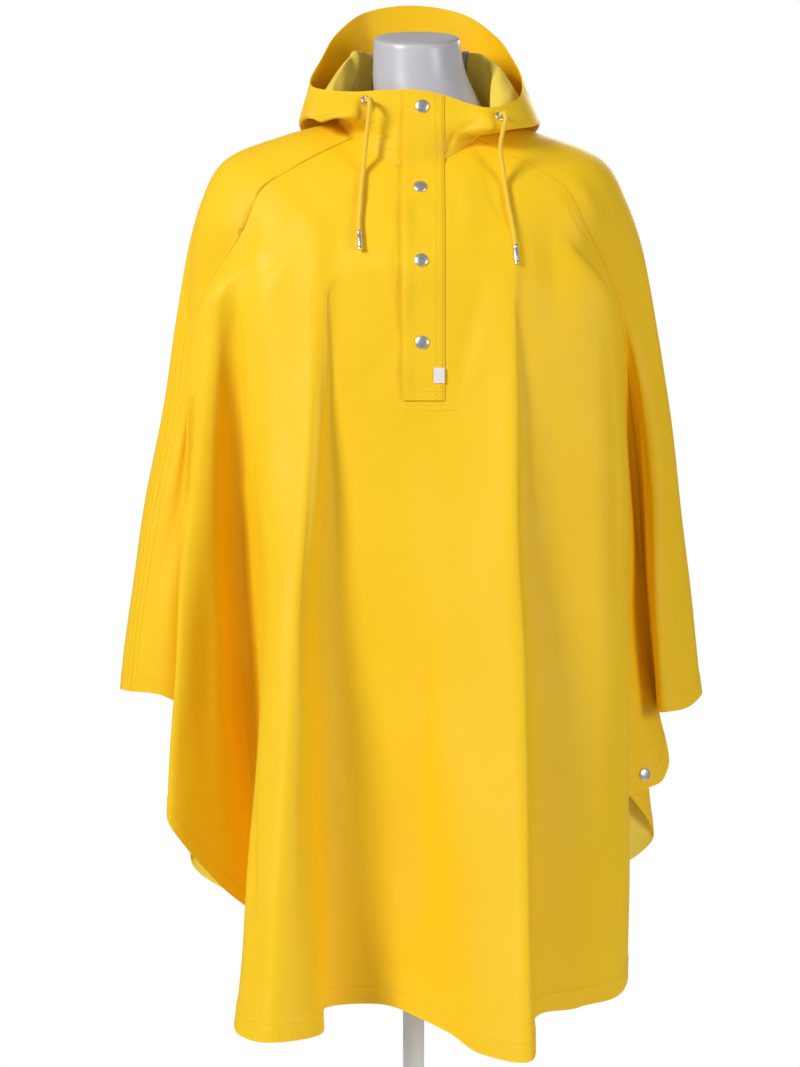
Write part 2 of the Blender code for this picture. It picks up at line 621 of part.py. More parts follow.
def make_neck_lining():
    """Grey lining on the inside of the hood, behind the neck."""
    _, points, normals = hood_grid(LINING_COLUMNS, LINING_ROWS)
    lift = WALL / 2 + TOUCH + LINING_WALL / 2
    cloth("neck_lining", points - normals * lift, normals, thickness=LINING_WALL, finish="grey lining")


def make_hood():
    left = make_hood_half("hood_left", (-HOOD_COLUMNS, 0), seam_column=-1)
    right = make_hood_half("hood_right", (0, HOOD_COLUMNS), seam_column=0)
    make_neck_lining()
    return left, right


# ================================================================ placket
def across_front(surface, row, x_places):
    """Points of one row of a surface at the given x, near the front centre."""
    around = np.linspace(-0.07, 0.07, 57)
    line = surface(around, np.full((1, len(around)), row))[0]
    found = np.interp(x_places, line[::-1, 0], around[::-1])
    return surface(found, np.full((1, len(x_places)), row))[0]


def placket_grid(x_places):
    """Points and normals down the front at the given x, from the hood's rim to the placket's end."""
    below_chest = np.linspace(CHEST_Z, PLACKET_BOTTOM_Z, 5)
    body_rows = list(YOKE_ROWS[1:]) + [CHEST_DOWN + CHEST_Z - z for z in below_chest]
    rows = [across_front(hood_surface, up, x_places) for up in PLACKET_HOOD_ROWS]
    rows += [across_front(body_surface, down, x_places) for down in body_rows]
    points = np.array(rows)
    normals = unit(np.cross(np.gradient(points, axis=0), np.gradient(points, axis=1)))
    return points, normals


def placket_spot(x, z):
    """Point and normal on the middle of the front's cloth at a place and height on the placket."""
    points, normals = placket_grid(np.array([x - 0.005, x, x + 0.005]))
    heights = points[::-1, 1, 2]
    point = np.array([np.interp(z, heights, points[::-1, 1, axis]) for axis in range(3)])
    normal = np.array([np.interp(z, heights, normals[::-1, 1, axis]) for axis in range(3)])
    return point, unit(normal)


def make_placket():
    points, normals = placket_grid(np.linspace(PLACKET_LEFT, PLACKET_RIGHT, 5))
    lift = WALL / 2 + TOUCH + FLAP_WALL / 2
    face = cloth("placket_flap", points + normals * lift, normals, thickness=FLAP_WALL)
    on_flap = WALL / 2 + TOUCH + FLAP_WALL + TOUCH
    for number, (x, z) in enumerate(PLACKET_SNAPS, start=1):
        point, normal = placket_spot(x, z)
        make_snap(f"placket_snap_{number}", face, point + normal * on_flap, normal)
    spots = [[placket_spot(x, z) for x in np.linspace(*LABEL_X, 3)] for z in np.linspace(*LABEL_Z, 3)]
    points = np.array([[spot[0] for spot in row] for row in spots])
    normals = np.array([[spot[1] for spot in row] for row in spots])
    lift = on_flap + LABEL_THICKNESS / 2
    cloth("label", points + normals * lift, normals, thickness=LABEL_THICKNESS, finish="label tape")


# ================================================================ metal fittings
def make_snap(name, face, spot, normal):
    """Domed cap of a snap button, on the outer face of a cloth."""
    radius = SNAP_DIAMETER / 2
    profile = ((0.0, 0.0), (0.94 * radius, 0.0), (radius, 0.25 * SNAP_HEIGHT),
               (0.95 * radius, 0.60 * SNAP_HEIGHT), (0.75 * radius, 0.88 * SNAP_HEIGHT),
               (0.40 * radius, SNAP_HEIGHT), (0.0, SNAP_HEIGHT))
    place = rest_on(face, spot, normal, radius)
    stand_on(turned(name, profile, "snap metal", steps=16), place, normal)


def make_side_snaps(front):
    """The snaps that close the sides under the wings; front is the front panel's outer face."""
    for side, (fold, z) in SIDE_SNAPS.items():
        around = np.array([FOLD_AT[fold]])
        down = np.array([[CHEST_DOWN + CHEST_Z - z]])
        normal = outward(body_surface, around, down)[0, 0]
        spot = body_surface(around, down)[0, 0] + normal * WALL / 2
        make_snap(f"side_snap_{side}", front, spot, normal)


def make_eyelets(hood):
    """Metal rings round the cord holes; hood is the outer faces of the hood's halves."""
    outer = EYELET_OUTER / 2
    hole = EYELET_HOLE / 2
    profile = ((hole, 0.0), (outer, 0.0), (0.96 * outer, 0.5 * EYELET_HEIGHT),
               (0.5 * (outer + hole), EYELET_HEIGHT), (hole, 0.6 * EYELET_HEIGHT))
    for (side, (turn, up)), face in zip(EYELETS.items(), hood):
        around = np.array([turn / 360.0])
        normal = -outward(hood_surface, around, np.array([[up]]))[0, 0]
        spot = hood_surface(around, np.array([[up]]))[0, 0] + normal * WALL / 2
        ring = turned(f"eyelet_{side}", profile, "snap metal", steps=20, ring=True)
        place = rest_on(face, spot, normal, outer)
        stand_on(ring, place, normal)
        make_drawcord(side, place, normal)


def smooth_route(places, spacing):
    """Points along a smooth line through some places, about evenly spaced."""
    places = np.array(places)
    knots = np.concatenate([[0.0], np.cumsum(np.linalg.norm(np.diff(places, axis=0), axis=1))])
    rings = places[:, None]
    at = np.linspace(0.0, knots[-1], round(knots[-1] / spacing) + 1)[:, None]
    return along_section(knots, rings, section_pulls(knots, rings), at)[:, 0]


def make_drawcord(side, place, normal):
    """The cord's free end: out of its eyelet, round a bend, and down the chest to a metal tip."""
    start = place + normal * CORD_LEAD
    stations = np.array(DRAWCORDS[side])
    aim = unit(stations[0] - start)
    towards = unit(aim - (aim @ normal) * normal)
    angles = np.linspace(0.0, np.arccos(aim @ normal), 9)[:, None]
    bend = start + CORD_BEND * (np.sin(angles) * normal + (1.0 - np.cos(angles)) * towards)
    hanging = smooth_route(np.vstack([bend[-1:], stations]), 2.0 * CORD_DIAMETER)
    tube(f"drawcord_{side}", np.vstack([place, bend, hanging[1:]]), CORD_DIAMETER, "drawcord")
    radius = CORD_TIP_DIAMETER / 2
    edge = 0.0004
    profile = ((0.0, 0.0), (radius - edge, 0.0), (radius, edge), (radius, CORD_TIP_LENGTH - edge),
               (radius - edge, CORD_TIP_LENGTH), (0.0, CORD_TIP_LENGTH))
    onward = unit(hanging[-1] - hanging[-2])
    tip = turned(f"cord_tip_{side}", profile, "snap metal", steps=12)
    stand_on(tip, hanging[-1] + onward * TOUCH, onward)


# ================================================================ dress form
def make_form():
    """Smooth headless, limbless torso that the yoke rests on."""
    around = np.concatenate([columns_between("front centre", "right wing seam")[:-1],
                             columns_between("right wing seam", "front centre")[:-1]])[::2]
    turn = turn_at(around)
    yoke_rows = [row for row in YOKE_ROWS if row <= YOKE[2][1]]
    down = np.repeat(np.array(yoke_rows)[:, None], len(around), axis=1)
    inset = WALL / 2 + FORM_CLEARANCE
    shoulders = body_surface(around, down) - outward(body_surface, around, down) * inset
    torso = np.array([ring_on_shoulders(turn, *row[1:]) for row in FORM_TORSO])
    angle = np.radians(turn)
    neck = []
    for _, centre_x, centre_y, radius_x, radius_y, height, lean in FORM_NECK:
        y = -np.cos(angle)
        neck.append(np.stack([centre_x - radius_x * np.sin(angle), centre_y + radius_y * y,
                              height + lean / 2 * y], axis=-1))
    rings = np.concatenate([np.array(neck), shoulders, torso])
    bm = bmesh.new()
    loops = [[bm.verts.new(point) for point in ring] for ring in rings]
    count = len(around)
    for upper, lower in zip(loops, loops[1:]):
        for i in range(count):
            after = (i + 1) % count
            bm.faces.new([upper[i], lower[i], lower[after], upper[after]])
    bm.faces.new(list(reversed(loops[0])))
    bm.faces.new(loops[-1])
    bmesh.ops.recalc_face_normals(bm, faces=bm.faces)
    mesh = bpy.data.meshes.new("form_torso")
    bm.to_mesh(mesh)
    bm.free()
    mesh.shade_smooth()
    mesh.set_sharp_from_angle(angle=math.radians(40))
    add_object("form_torso", mesh, "form lacquer")


def make_stand():
    edge = 0.003
    turned("stand_base", ((0.0, 0.0), (BASE_RADIUS - edge, 0.0), (BASE_RADIUS, edge),
                          (BASE_RADIUS, BASE_THICKNESS - edge), (BASE_RADIUS - edge, BASE_THICKNESS),
                          (HUB_RADIUS + edge, BASE_THICKNESS + edge), (HUB_RADIUS, BASE_THICKNESS + 3 * edge),
                          (HUB_RADIUS, HUB_TOP_Z - edge / 2), (HUB_RADIUS - edge / 2, HUB_TOP_Z),
                          (0.0, HUB_TOP_Z)), "stand paint", steps=48)
    length = FORM_BOTTOM_Z - HUB_TOP_Z - 2 * TOUCH
    bpy.ops.mesh.primitive_cylinder_add(vertices=24, radius=POLE_RADIUS, depth=length,
                                        location=(0.0, 0.0, HUB_TOP_Z + TOUCH + length / 2))
    pole = bpy.context.object
    pole.name = "stand_pole"
    pole.data.materials.append(material("stand paint"))
    for owner in list(pole.users_collection):
        owner.objects.unlink(pole)
    COLLECTION.objects.link(pole)


# ================================================================ main
def main():
    global COLLECTION
    for old in list(bpy.data.objects):
        bpy.data.objects.remove(old, do_unlink=True)
    COLLECTION = bpy.data.collections.new("rain_poncho")
    bpy.context.scene.collection.children.link(COLLECTION)
    make_stand()
    make_form()
    front = make_body()
    hood = make_hood()
    make_placket()
    make_side_snaps(front)
    make_eyelets(hood)


main()
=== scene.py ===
"""Looks of the rain poncho on its dress form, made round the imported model.

Metres, +Z up. The garment faces -Y and +X is to the right of someone looking at its front.
Each cloth is a thin shell on the same rings as its solid, with the creases, seams, hems and
stitches that are too fine for the solids. Tables shared with the solids have the same values.
"""
import math

import bpy
import numpy as np
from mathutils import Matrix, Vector


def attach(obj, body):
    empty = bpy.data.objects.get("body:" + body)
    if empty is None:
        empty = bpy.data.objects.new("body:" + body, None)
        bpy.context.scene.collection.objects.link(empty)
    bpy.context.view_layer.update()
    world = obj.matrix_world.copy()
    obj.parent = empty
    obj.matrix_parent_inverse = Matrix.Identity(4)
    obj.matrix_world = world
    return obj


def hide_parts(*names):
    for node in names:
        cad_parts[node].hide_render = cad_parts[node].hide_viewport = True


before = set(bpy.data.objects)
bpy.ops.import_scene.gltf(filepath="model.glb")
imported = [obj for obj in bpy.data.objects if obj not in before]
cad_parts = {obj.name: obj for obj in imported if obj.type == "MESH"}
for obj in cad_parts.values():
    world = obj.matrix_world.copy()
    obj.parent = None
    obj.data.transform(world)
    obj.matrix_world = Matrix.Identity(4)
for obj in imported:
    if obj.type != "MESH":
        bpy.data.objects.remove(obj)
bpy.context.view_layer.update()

# ---------------------------------------------------------------- driving dimensions
WALL = 0.002            # wall of the solids, whose middle the tables give
OUTER_FACE = 0.0009     # outer face of a cloth, from that middle
CLOTH_WALL = 0.0010
LINING_WALL = 0.0008
SEAM_GROOVE = 0.0007    # open groove between two pieces that are sewn together
ALLOWANCE = 0.009       # cloth that runs on under the next piece at a seam
ALLOWANCE_DROP = 0.0013
CELL = 0.0062           # size aimed at for one facet of the body
HOOD_CELL = 0.0042
SHARP_ANGLE = 50        # degrees between two facets, above which their edge stays sharp
TOUCH = 0.0003          # between a piece and the one that it lies on

CHEST_DOWN = 0.317      # from the neck seam over the shoulder to the chest ring
CHEST_Z = 1.27          # heights of the three measured rings of the skirt
HIP_Z = 0.82
LOW_Z = 0.50
HEM_WIDTH = 0.022       # turned-up hem, and its extra thickness
HEM_LIFT = 0.0005
HEM_FADE = (-0.002, 0.001)  # where that ends, from the turned edge
SLIT_WIDTH = 0.003      # front opening under the flap
SLIT_BOTTOM_Z = 1.190

PLACKET_LEFT = -0.0122  # free edge of the placket flap
PLACKET_RIGHT = 0.0335  # its sewn edge
PLACKET_BOTTOM_Z = 1.174
PLACKET_HOOD = (0.985, 0.06, 24)  # share up the hood at the flap's first row and its last there, rows
PLACKET_YOKE = (0.010, 0.006)  # distance down at its first row on the yoke, and the step
PLACKET_FRONT_ROWS = 17  # from the chest ring to its foot
PLACKET_COLUMNS = 13
FRONT_REACH = 0.07      # share of the way round, to either side, in which the placket lies
FRONT_PLACES = 57
FLAP_MIDDLE = 0.0021    # middle of the flap, from the middle of the cloth under it
FLAP_WALL = 0.0016
FLAP_FACE = FLAP_MIDDLE + FLAP_WALL / 2
FLAP_THINNING = 0.0010  # at its sewn edge, and over what width
FLAP_THIN_WIDTH = 0.004
FLAP_EDGE = 0.015       # width of the free edge that gapes between the snaps
FLAP_EDGE_LIFTS = (     # height, how far the edge stands off there
    (1.174, 0.0004), (1.203, 0.0030), (1.238, 0.0006), (1.262, 0.0026),
    (1.290, 0.0034), (1.328, 0.0004), (1.352, 0.0022), (1.380, 0.0028),
    (1.410, 0.0004), (1.440, 0.0024), (1.468, 0.0018), (1.502, 0.0003),
)
LABEL_X = (0.0212, 0.0332)
LABEL_Z = (1.2100, 1.1930)
LABEL_PLACES = (9, 13)  # across, down
LABEL_LIFT = 0.0010
LABEL_WALL = 0.0007

SNAP_DIAMETER = 0.0150
SNAP_HEIGHT = 0.0026
SNAP_SIDES = 40         # facets round a snap or an eyelet
EYELET_OUTER = 0.0120
EYELET_HOLE = 0.0064
EYELET_HEIGHT = 0.0018
CORD_DIAMETER = 0.0052
CORD_LEAD = 0.0020      # straight out of the eyelet before the cord bends
CORD_BEND = 0.0107      # radius of that bend
CORD_BEND_PLACES = 9
CORD_ROUTE_STEP = 0.001
CORD_CELL = 0.0007
CORD_SIDES = 32
BRAID_STRANDS = 8
BRAID_PITCH = 0.0085
BRAID_DEPTH = 0.00022
CORD_TIP_DIAMETER = 0.0058
CORD_TIP_LENGTH = 0.0230
CORD_TIP_SIDES = 32

BASE_RADIUS = 0.170
BASE_THICKNESS = 0.010
BASE_SIDES = 128
HUB_RADIUS = 0.024
HUB_TOP_Z = 0.034
STAND_EDGE = 0.003      # rounding of the base's and the hub's edges
POLE_RADIUS = 0.0125
HUB_GAP = 0.001         # between the pole and the hub's bore
POLE_EDGE = 0.0005
POLE_SIDES = 64
FORM_BOTTOM_Z = 0.850
FORM_CLEARANCE = 0.0006
FORM_COLUMN_TURN = 2.5  # degrees between the form's columns
FORM_TURN_PLACES = 720  # places round the yoke at which the turn is looked up
FORM_SHOULDER_RINGS = 24
FORM_NECK_STEPS = 8     # rings from one row of the neck's table to the next
FORM_TORSO_STEPS = 6

# ---------------------------------------------------------------- sewing
STITCH = 0.0031
STITCH_GAP = 0.0012
STITCH_WIDTH = 0.0007
STITCH_HEIGHT = 0.0005
STITCH_SIDES = 5
STITCH_PROFILE = ((0.0, 0.25), (0.2, 1.0), (0.8, 1.0), (1.0, 0.25))  # share along it, size there
SEAM_STITCH_ASIDE = 0.007  # from a seam, round the figure
SEAM_STITCH_STEP = 0.006   # between the places at which the seam is followed
NECK_STITCH_DOWN = 0.006
HEM_STITCH_IN = 0.003      # from the turned edge of the hem
HOOD_LINE_PLACES = 90
HOOD_STITCHES = ((0.70, 1), (0.735, -1), (0.035, 1))  # share up the hood, outside 1 or inside -1
FLAP_SIDE_STITCHES = (0.0030, 0.0100)  # in from the flap's sewn edge
FLAP_FOOT_STITCHES = (1.1780, 1.1840)  # heights on the flap
FRONT_FOOT_STITCHES = (1.1695, 1.1635)  # heights on the front, below the flap
FACING_EDGE = 0.0500    # x of the front facing's sewn edge, right of the placket
FRONT_FOOT_X = (PLACKET_LEFT + 0.001, FACING_EDGE, 24)  # first place across, last, places

# ---------------------------------------------------------------- the yoke
# Rings that lie on the shoulders. "turn" 0 is the front, 90 the -X side, 180 the back.
# down is the distance from the neck seam, measured over the shoulder.
YOKE = (
    # name,            down, half_width, front,  back, side_z, front_z, back_z
    ("neck seam",     0.000,      0.088, 0.083, 0.080,  1.490,   1.435,  1.487),
    ("neck slope",    0.065,      0.150, 0.106, 0.104,  1.474,   1.400,  1.452),
    ("shoulder tip",  0.140,      0.222, 0.126, 0.122,  1.441,   1.358,  1.408),
    ("shoulder fall", 0.190,      0.245, 0.137, 0.131,  1.397,   1.335,  1.365),
)

# ---------------------------------------------------------------- the folds of the skirt
# One row for each fold line, in order round the figure: where it leaves the shoulders (turn),
# its place in plan at the chest, hip and low rings, and the height where the hem cuts it.
FOLDS = (
    # name,               turn, chest_x, chest_y,  hip_x,  hip_y,  low_x,  low_y, hem_z
    ("front centre",         0,  0.009, -0.146,  0.013, -0.172,  0.015, -0.222, 0.495),
    ("front valley",        13, -0.092, -0.136, -0.071, -0.152, -0.047, -0.178, 0.504),
    ("left crest foot",     17, -0.099, -0.137, -0.103, -0.168, -0.100, -0.196, 0.503),
    ("left crest inner",    20, -0.104, -0.138, -0.118, -0.203, -0.103, -0.258, 0.490),
    ("left crest",          24, -0.110, -0.138, -0.138, -0.217, -0.160, -0.288, 0.489),
    ("left crest outer",    27, -0.117, -0.137, -0.158, -0.205, -0.190, -0.252, 0.488),
    ("left flank",          31, -0.163, -0.127, -0.173, -0.125, -0.176, -0.125, 0.530),
    ("left valley",         35, -0.207, -0.104, -0.180, -0.030, -0.165,  0.005, 0.552),
    ("left side inner",     39, -0.227, -0.098, -0.230, -0.062, -0.222, -0.045, 0.613),
    ("left side crest",     43, -0.242, -0.083, -0.273, -0.080, -0.288, -0.075, 0.691),
    ("left side back",      47, -0.243, -0.058, -0.264, -0.028, -0.272, -0.020, 0.712),
    ("left front raglan",   51, -0.239, -0.036, -0.238,  0.020, -0.240,  0.024, 0.775),
    ("left wing front",     58, -0.252, -0.020, -0.293,  0.000, -0.312,  0.010, 0.826),
    ("left wing seam",      88, -0.262,  0.000, -0.331,  0.022, -0.345,  0.035, 0.828),
    ("left wing crest",     93, -0.275,  0.020, -0.347,  0.050, -0.368,  0.060, 0.827),
    ("left wing back",     108, -0.266,  0.045, -0.330,  0.082, -0.350,  0.095, 0.822),
    ("left wing turn",     122, -0.250,  0.062, -0.290,  0.095, -0.300,  0.105, 0.812),
    ("left back raglan",   129, -0.240,  0.070, -0.234,  0.062, -0.232,  0.060, 0.760),
    ("left back crest",    136, -0.238,  0.098, -0.262,  0.146, -0.277,  0.155, 0.598),
    ("left back inner",    141, -0.205,  0.117, -0.215,  0.142, -0.220,  0.140, 0.560),
    ("left back valley",   146, -0.178,  0.122, -0.176,  0.126, -0.168,  0.118, 0.530),
    ("back crest one",     152, -0.150,  0.133, -0.175,  0.205, -0.195,  0.245, 0.500),
    ("back crest one in",  158, -0.120,  0.138, -0.128,  0.225, -0.140,  0.280, 0.478),
    ("back flank one",     164, -0.092,  0.138, -0.080,  0.178, -0.072,  0.195, 0.478),
    ("back valley one",    170, -0.062,  0.140, -0.045,  0.168, -0.030,  0.185, 0.474),
    ("back crest two out", 177, -0.024,  0.142,  0.000,  0.205,  0.012,  0.250, 0.462),
    ("back crest two",     183,  0.010,  0.143,  0.045,  0.225,  0.065,  0.290, 0.455),
    ("back crest two in",  189,  0.045,  0.142,  0.085,  0.213,  0.110,  0.265, 0.465),
    ("back valley two",    195,  0.080,  0.138,  0.100,  0.165,  0.112,  0.185, 0.478),
    ("back flank two",     200,  0.107,  0.136,  0.135,  0.158,  0.150,  0.175, 0.490),
    ("back crest three",   206,  0.137,  0.133,  0.178,  0.200,  0.213,  0.240, 0.500),
    ("back crest three in", 212, 0.165,  0.123,  0.205,  0.172,  0.235,  0.193, 0.530),
    ("right back valley",  218,  0.190,  0.110,  0.198,  0.115,  0.200,  0.110, 0.570),
    ("right back crest",   224,  0.240,  0.100,  0.277,  0.144,  0.306,  0.155, 0.630),
    ("right back raglan",  231,  0.240,  0.070,  0.236,  0.062,  0.236,  0.060, 0.755),
    ("right wing turn",    238,  0.252,  0.062,  0.290,  0.095,  0.300,  0.105, 0.806),
    ("right wing back",    252,  0.268,  0.042,  0.330,  0.082,  0.350,  0.095, 0.818),
    ("right wing seam",    267,  0.280,  0.020,  0.344,  0.050,  0.384,  0.060, 0.823),
    ("right wing mid",     285,  0.266,  0.004,  0.319,  0.015,  0.345,  0.030, 0.809),
    ("right wing front",   302,  0.252, -0.010,  0.291,  0.000,  0.310,  0.010, 0.806),
    ("right front raglan", 309,  0.238, -0.016,  0.290,  0.056,  0.378,  0.066, 0.803),
    ("tab edge",           311,  0.236, -0.024,  0.279,  0.044,  0.430,  0.052, 0.744),
    ("tab outer",          312,  0.232, -0.032,  0.270,  0.030,  0.405,  0.039, 0.726),
    ("tab middle",         313,  0.227, -0.041,  0.258,  0.014,  0.325,  0.023, 0.713),
    ("tab inner",          314,  0.222, -0.052,  0.243, -0.002,  0.263,  0.004, 0.702),
    ("right side valley",  316,  0.218, -0.066,  0.224, -0.035,  0.215, -0.015, 0.640),
    ("right side crest",   320,  0.226, -0.098,  0.241, -0.118,  0.243, -0.112, 0.518),
    ("right front",        328,  0.162, -0.130,  0.180, -0.165,  0.180, -0.213, 0.508),
    ("right crest foot",   333,  0.114, -0.144,  0.125, -0.196,  0.127, -0.258, 0.506),
    ("right crest",        337,  0.108, -0.147,  0.119, -0.226,  0.122, -0.325, 0.480),
    ("right crest inner",  343,  0.090, -0.148,  0.082, -0.215,  0.074, -0.300, 0.480),
    ("front right",        350,  0.042, -0.147,  0.028, -0.186,  0.037, -0.258, 0.493),
)

# ---------------------------------------------------------------- the lowered hood
# One row for each section, from the neck seam over an inner fold, down into the roll that
# lies on the shoulders, and up to the rim of the face opening.
HOOD = (
    # name,          turn, fold_x, fold_y, fold_z, roll_x, roll_y, roll_z,  rim_x,  rim_y,  rim_z
    ("front centre",   0,  0.003, -0.081,  1.465,  0.004, -0.078,  1.492,  0.005, -0.074,  1.521),
    ("left front",    18, -0.030, -0.077,  1.467, -0.031, -0.077,  1.493, -0.031, -0.072,  1.521),
    ("left collar",   34, -0.051, -0.070,  1.474, -0.053, -0.078,  1.491, -0.050, -0.071,  1.520),
    ("left eyelet",   48, -0.069, -0.062,  1.482, -0.072, -0.088,  1.490, -0.066, -0.069,  1.519),
    ("left roll",     70, -0.092, -0.035,  1.522, -0.110, -0.055,  1.491, -0.106, -0.036,  1.525),
    ("left side",     90, -0.082,  0.000,  1.553, -0.122, -0.003,  1.496, -0.119,  0.000,  1.536),
    ("left back",    115, -0.066,  0.042,  1.575, -0.128,  0.060,  1.486, -0.107,  0.045,  1.567),
    ("left crown",   140, -0.055,  0.072,  1.576, -0.098,  0.128,  1.448, -0.088,  0.088,  1.603),
    ("back left",    160, -0.030,  0.088,  1.572, -0.052,  0.150,  1.418, -0.056,  0.117,  1.629),
    ("back centre",  180,  0.000,  0.094,  1.570,  0.000,  0.154,  1.405,  0.000,  0.125,  1.638),
    ("back right",   200,  0.032,  0.088,  1.572,  0.052,  0.150,  1.418,  0.058,  0.117,  1.627),
    ("right crown",  220,  0.062,  0.072,  1.576,  0.105,  0.126,  1.448,  0.094,  0.082,  1.599),
    ("right back",   245,  0.082,  0.038,  1.570,  0.138,  0.060,  1.482,  0.115,  0.037,  1.565),
    ("right side",   270,  0.098,  0.000,  1.546,  0.141, -0.004,  1.489,  0.124,  0.000,  1.537),
    ("right roll",   290,  0.098, -0.034,  1.508,  0.130, -0.050,  1.482,  0.118, -0.041,  1.514),
    ("right eyelet", 312,  0.076, -0.062,  1.472,  0.088, -0.086,  1.476,  0.083, -0.075,  1.501),
    ("right collar", 326,  0.052, -0.072,  1.466,  0.060, -0.080,  1.479,  0.060, -0.074,  1.506),
    ("right front",  342,  0.030, -0.078,  1.463,  0.036, -0.079,  1.486,  0.037, -0.073,  1.514),
)
HOOD_RINGS = (2, 5, 8)  # first of each ring's columns in HOOD
HOOD_KNOTS = (0.0, 0.30, 0.60, 1.0)  # neck seam, fold, roll and rim along a section
HOOD_SLIT_TURN = 1.0    # half of the front opening

# ---------------------------------------------------------------- the dress form
# Below the shoulder tip the form leaves the cloth. Same columns as the yoke.
FORM_TORSO = (
    # name,     half_width, front,  back, side_z, front_z, back_z
    ("arm end",      0.212, 0.127, 0.122,  1.405,   1.325,  1.362),
    ("underarm",     0.184, 0.126, 0.114,  1.345,   1.285,  1.310),
    ("bust",         0.172, 0.122, 0.106,  1.250,   1.235,  1.240),
    ("ribs",         0.150, 0.104, 0.092,  1.140,   1.140,  1.140),
    ("waist",        0.138, 0.096, 0.086,  1.050,   1.050,  1.050),
    ("hip",          0.160, 0.104, 0.100,  0.920,   0.920,  0.920),
    ("hem of form",  0.158, 0.100, 0.100,  0.858,   0.858,  0.858),
    ("underside",    0.150, 0.092, 0.092,  0.850,   0.850,  0.850),
)
# The neck above the neck seam; lean is how much lower the front of the ring is than its back.
FORM_NECK = (
    # name,      centre_x, centre_y, radius_x, radius_y, height,  lean
    ("neck top",    0.003,   -0.002,   0.0492,   0.0530,  1.5850, 0.024),
    ("neck middle", 0.006,    0.000,   0.0535,   0.0560,  1.5480, 0.030),
    ("neck base",   0.014,    0.002,   0.0630,   0.0640,  1.5100, 0.040),
)
FORM_LID = (
    # share of the neck's top ring, and how far it rises above that ring
    (0.40, 0.0035), (0.80, 0.0032), (0.93, 0.0026), (0.975, 0.0014),
)

# ---------------------------------------------------------------- small pieces
PLACKET_SNAPS = ((0.0089, 1.502), (0.0066, 1.410), (0.0077, 1.328), (0.0083, 1.238))  # x, z
SIDE_SNAPS = {"right": ("tab middle", 0.730), "left": ("left side back", 0.750)}  # fold line, height
SNAP_PROFILE = (
    # share of the radius, share of the height, from the rolled rim to the middle of the dome
    (0.93, 0.00), (1.00, 0.12), (1.01, 0.30), (0.98, 0.50), (0.90, 0.62), (0.84, 0.66),
    (0.78, 0.74), (0.64, 0.88), (0.46, 0.96), (0.24, 1.00), (0.08, 1.01),
)
EYELET_OUTSIDE = (
    # share of the outer radius, share of the height, from the foot to the top of the ring
    (1.00, 0.0), (1.01, 0.35), (0.93, 0.70), (0.80, 0.95), (0.70, 1.00),
)
EYELET_BORE = ((0.0006, 0.85), (0.0001, 0.55))  # beyond the hole's radius, share of the height
CORD_TIP_TOP = (
    # share of the radius, distance from the end at the cord; a groove is pressed near each end
    (0.80, 0.0), (0.96, 0.0002), (1.00, 0.0006), (1.00, 0.0030), (0.94, 0.0034), (0.94, 0.0040),
    (1.00, 0.0044),
)
CORD_TIP_FOOT = (
    # the same from the free end
    (1.00, 0.0044), (0.94, 0.0040), (0.94, 0.0034), (1.00, 0.0030), (1.00, 0.0006), (0.94, 0.0),
    (0.70, 0.0),
)
HOOD_COLUMNS = 20         # facets of each half of the hood's solid, and the grey lining on them
HOOD_ROWS = 14
LINING_COLUMNS = (-4, 5)  # counted from the hood's back seam
LINING_ROWS = (1, 4)      # counted up the hood from the neck seam
LINING_PLACES = (60, 24)  # round, up
EYELETS = {"left": (36.5, 0.84), "right": (307.0, 0.84)}  # turn, share up the hood
EYELET_PLACES = {"left": (-0.0538, -0.0781, 1.5086), "right": (0.0963, -0.0784, 1.4910)}
DRAWCORDS = {
    # side: places on the cord's middle line, from below its eyelet to its lower end
    "left": ((-0.0552, -0.0900, 1.4500), (-0.0571, -0.0912, 1.4290), (-0.0589, -0.1016, 1.4128),
             (-0.0603, -0.1145, 1.3888), (-0.0616, -0.1232, 1.3703), (-0.0612, -0.1276, 1.3615)),
    "right": ((0.0964, -0.0945, 1.4550), (0.0990, -0.0940, 1.4350), (0.1014, -0.0950, 1.4175),
              (0.1040, -0.1056, 1.3971), (0.1082, -0.1169, 1.3732), (0.1114, -0.1241, 1.3540),
              (0.1120, -0.1274, 1.3460)),
}

# ---------------------------------------------------------------- flat sizes
BODY_CLOTHS = (
    # name, starts at, ends at, width, length, area, solid
    ("front_cloth", "right front raglan", "left front raglan", 1.35, 1.02, 0.855, "front_panel"),
    ("sleeve_cloth_fl", "left front raglan", "left wing seam", 0.12, 0.73, 0.071, "sleeve_front_left"),
    ("sleeve_cloth_bl", "left wing seam", "left back raglan", 0.17, 0.74, 0.102, "sleeve_back_left"),
    ("back_cloth", "left back raglan", "right back raglan", 1.17, 1.06, 0.793, "back_panel"),
    ("sleeve_cloth_br", "right back raglan", "right wing seam", 0.14, 0.75, 0.090,
     "sleeve_back_right"),
    ("sleeve_cloth_fr", "right wing seam", "right front raglan", 0.15, 0.72, 0.085,
     "sleeve_front_right"),
)
# Width and length, and the area where it isn't their product.
HOOD_HALF_FLAT = ((0.42, 0.27), 0.089)
LINING_FLAT = ((0.12, 0.07), None)
FLAP_FLAT = ((0.046, 0.37), None)
LABEL_FLAT = ((0.012, 0.017), None)

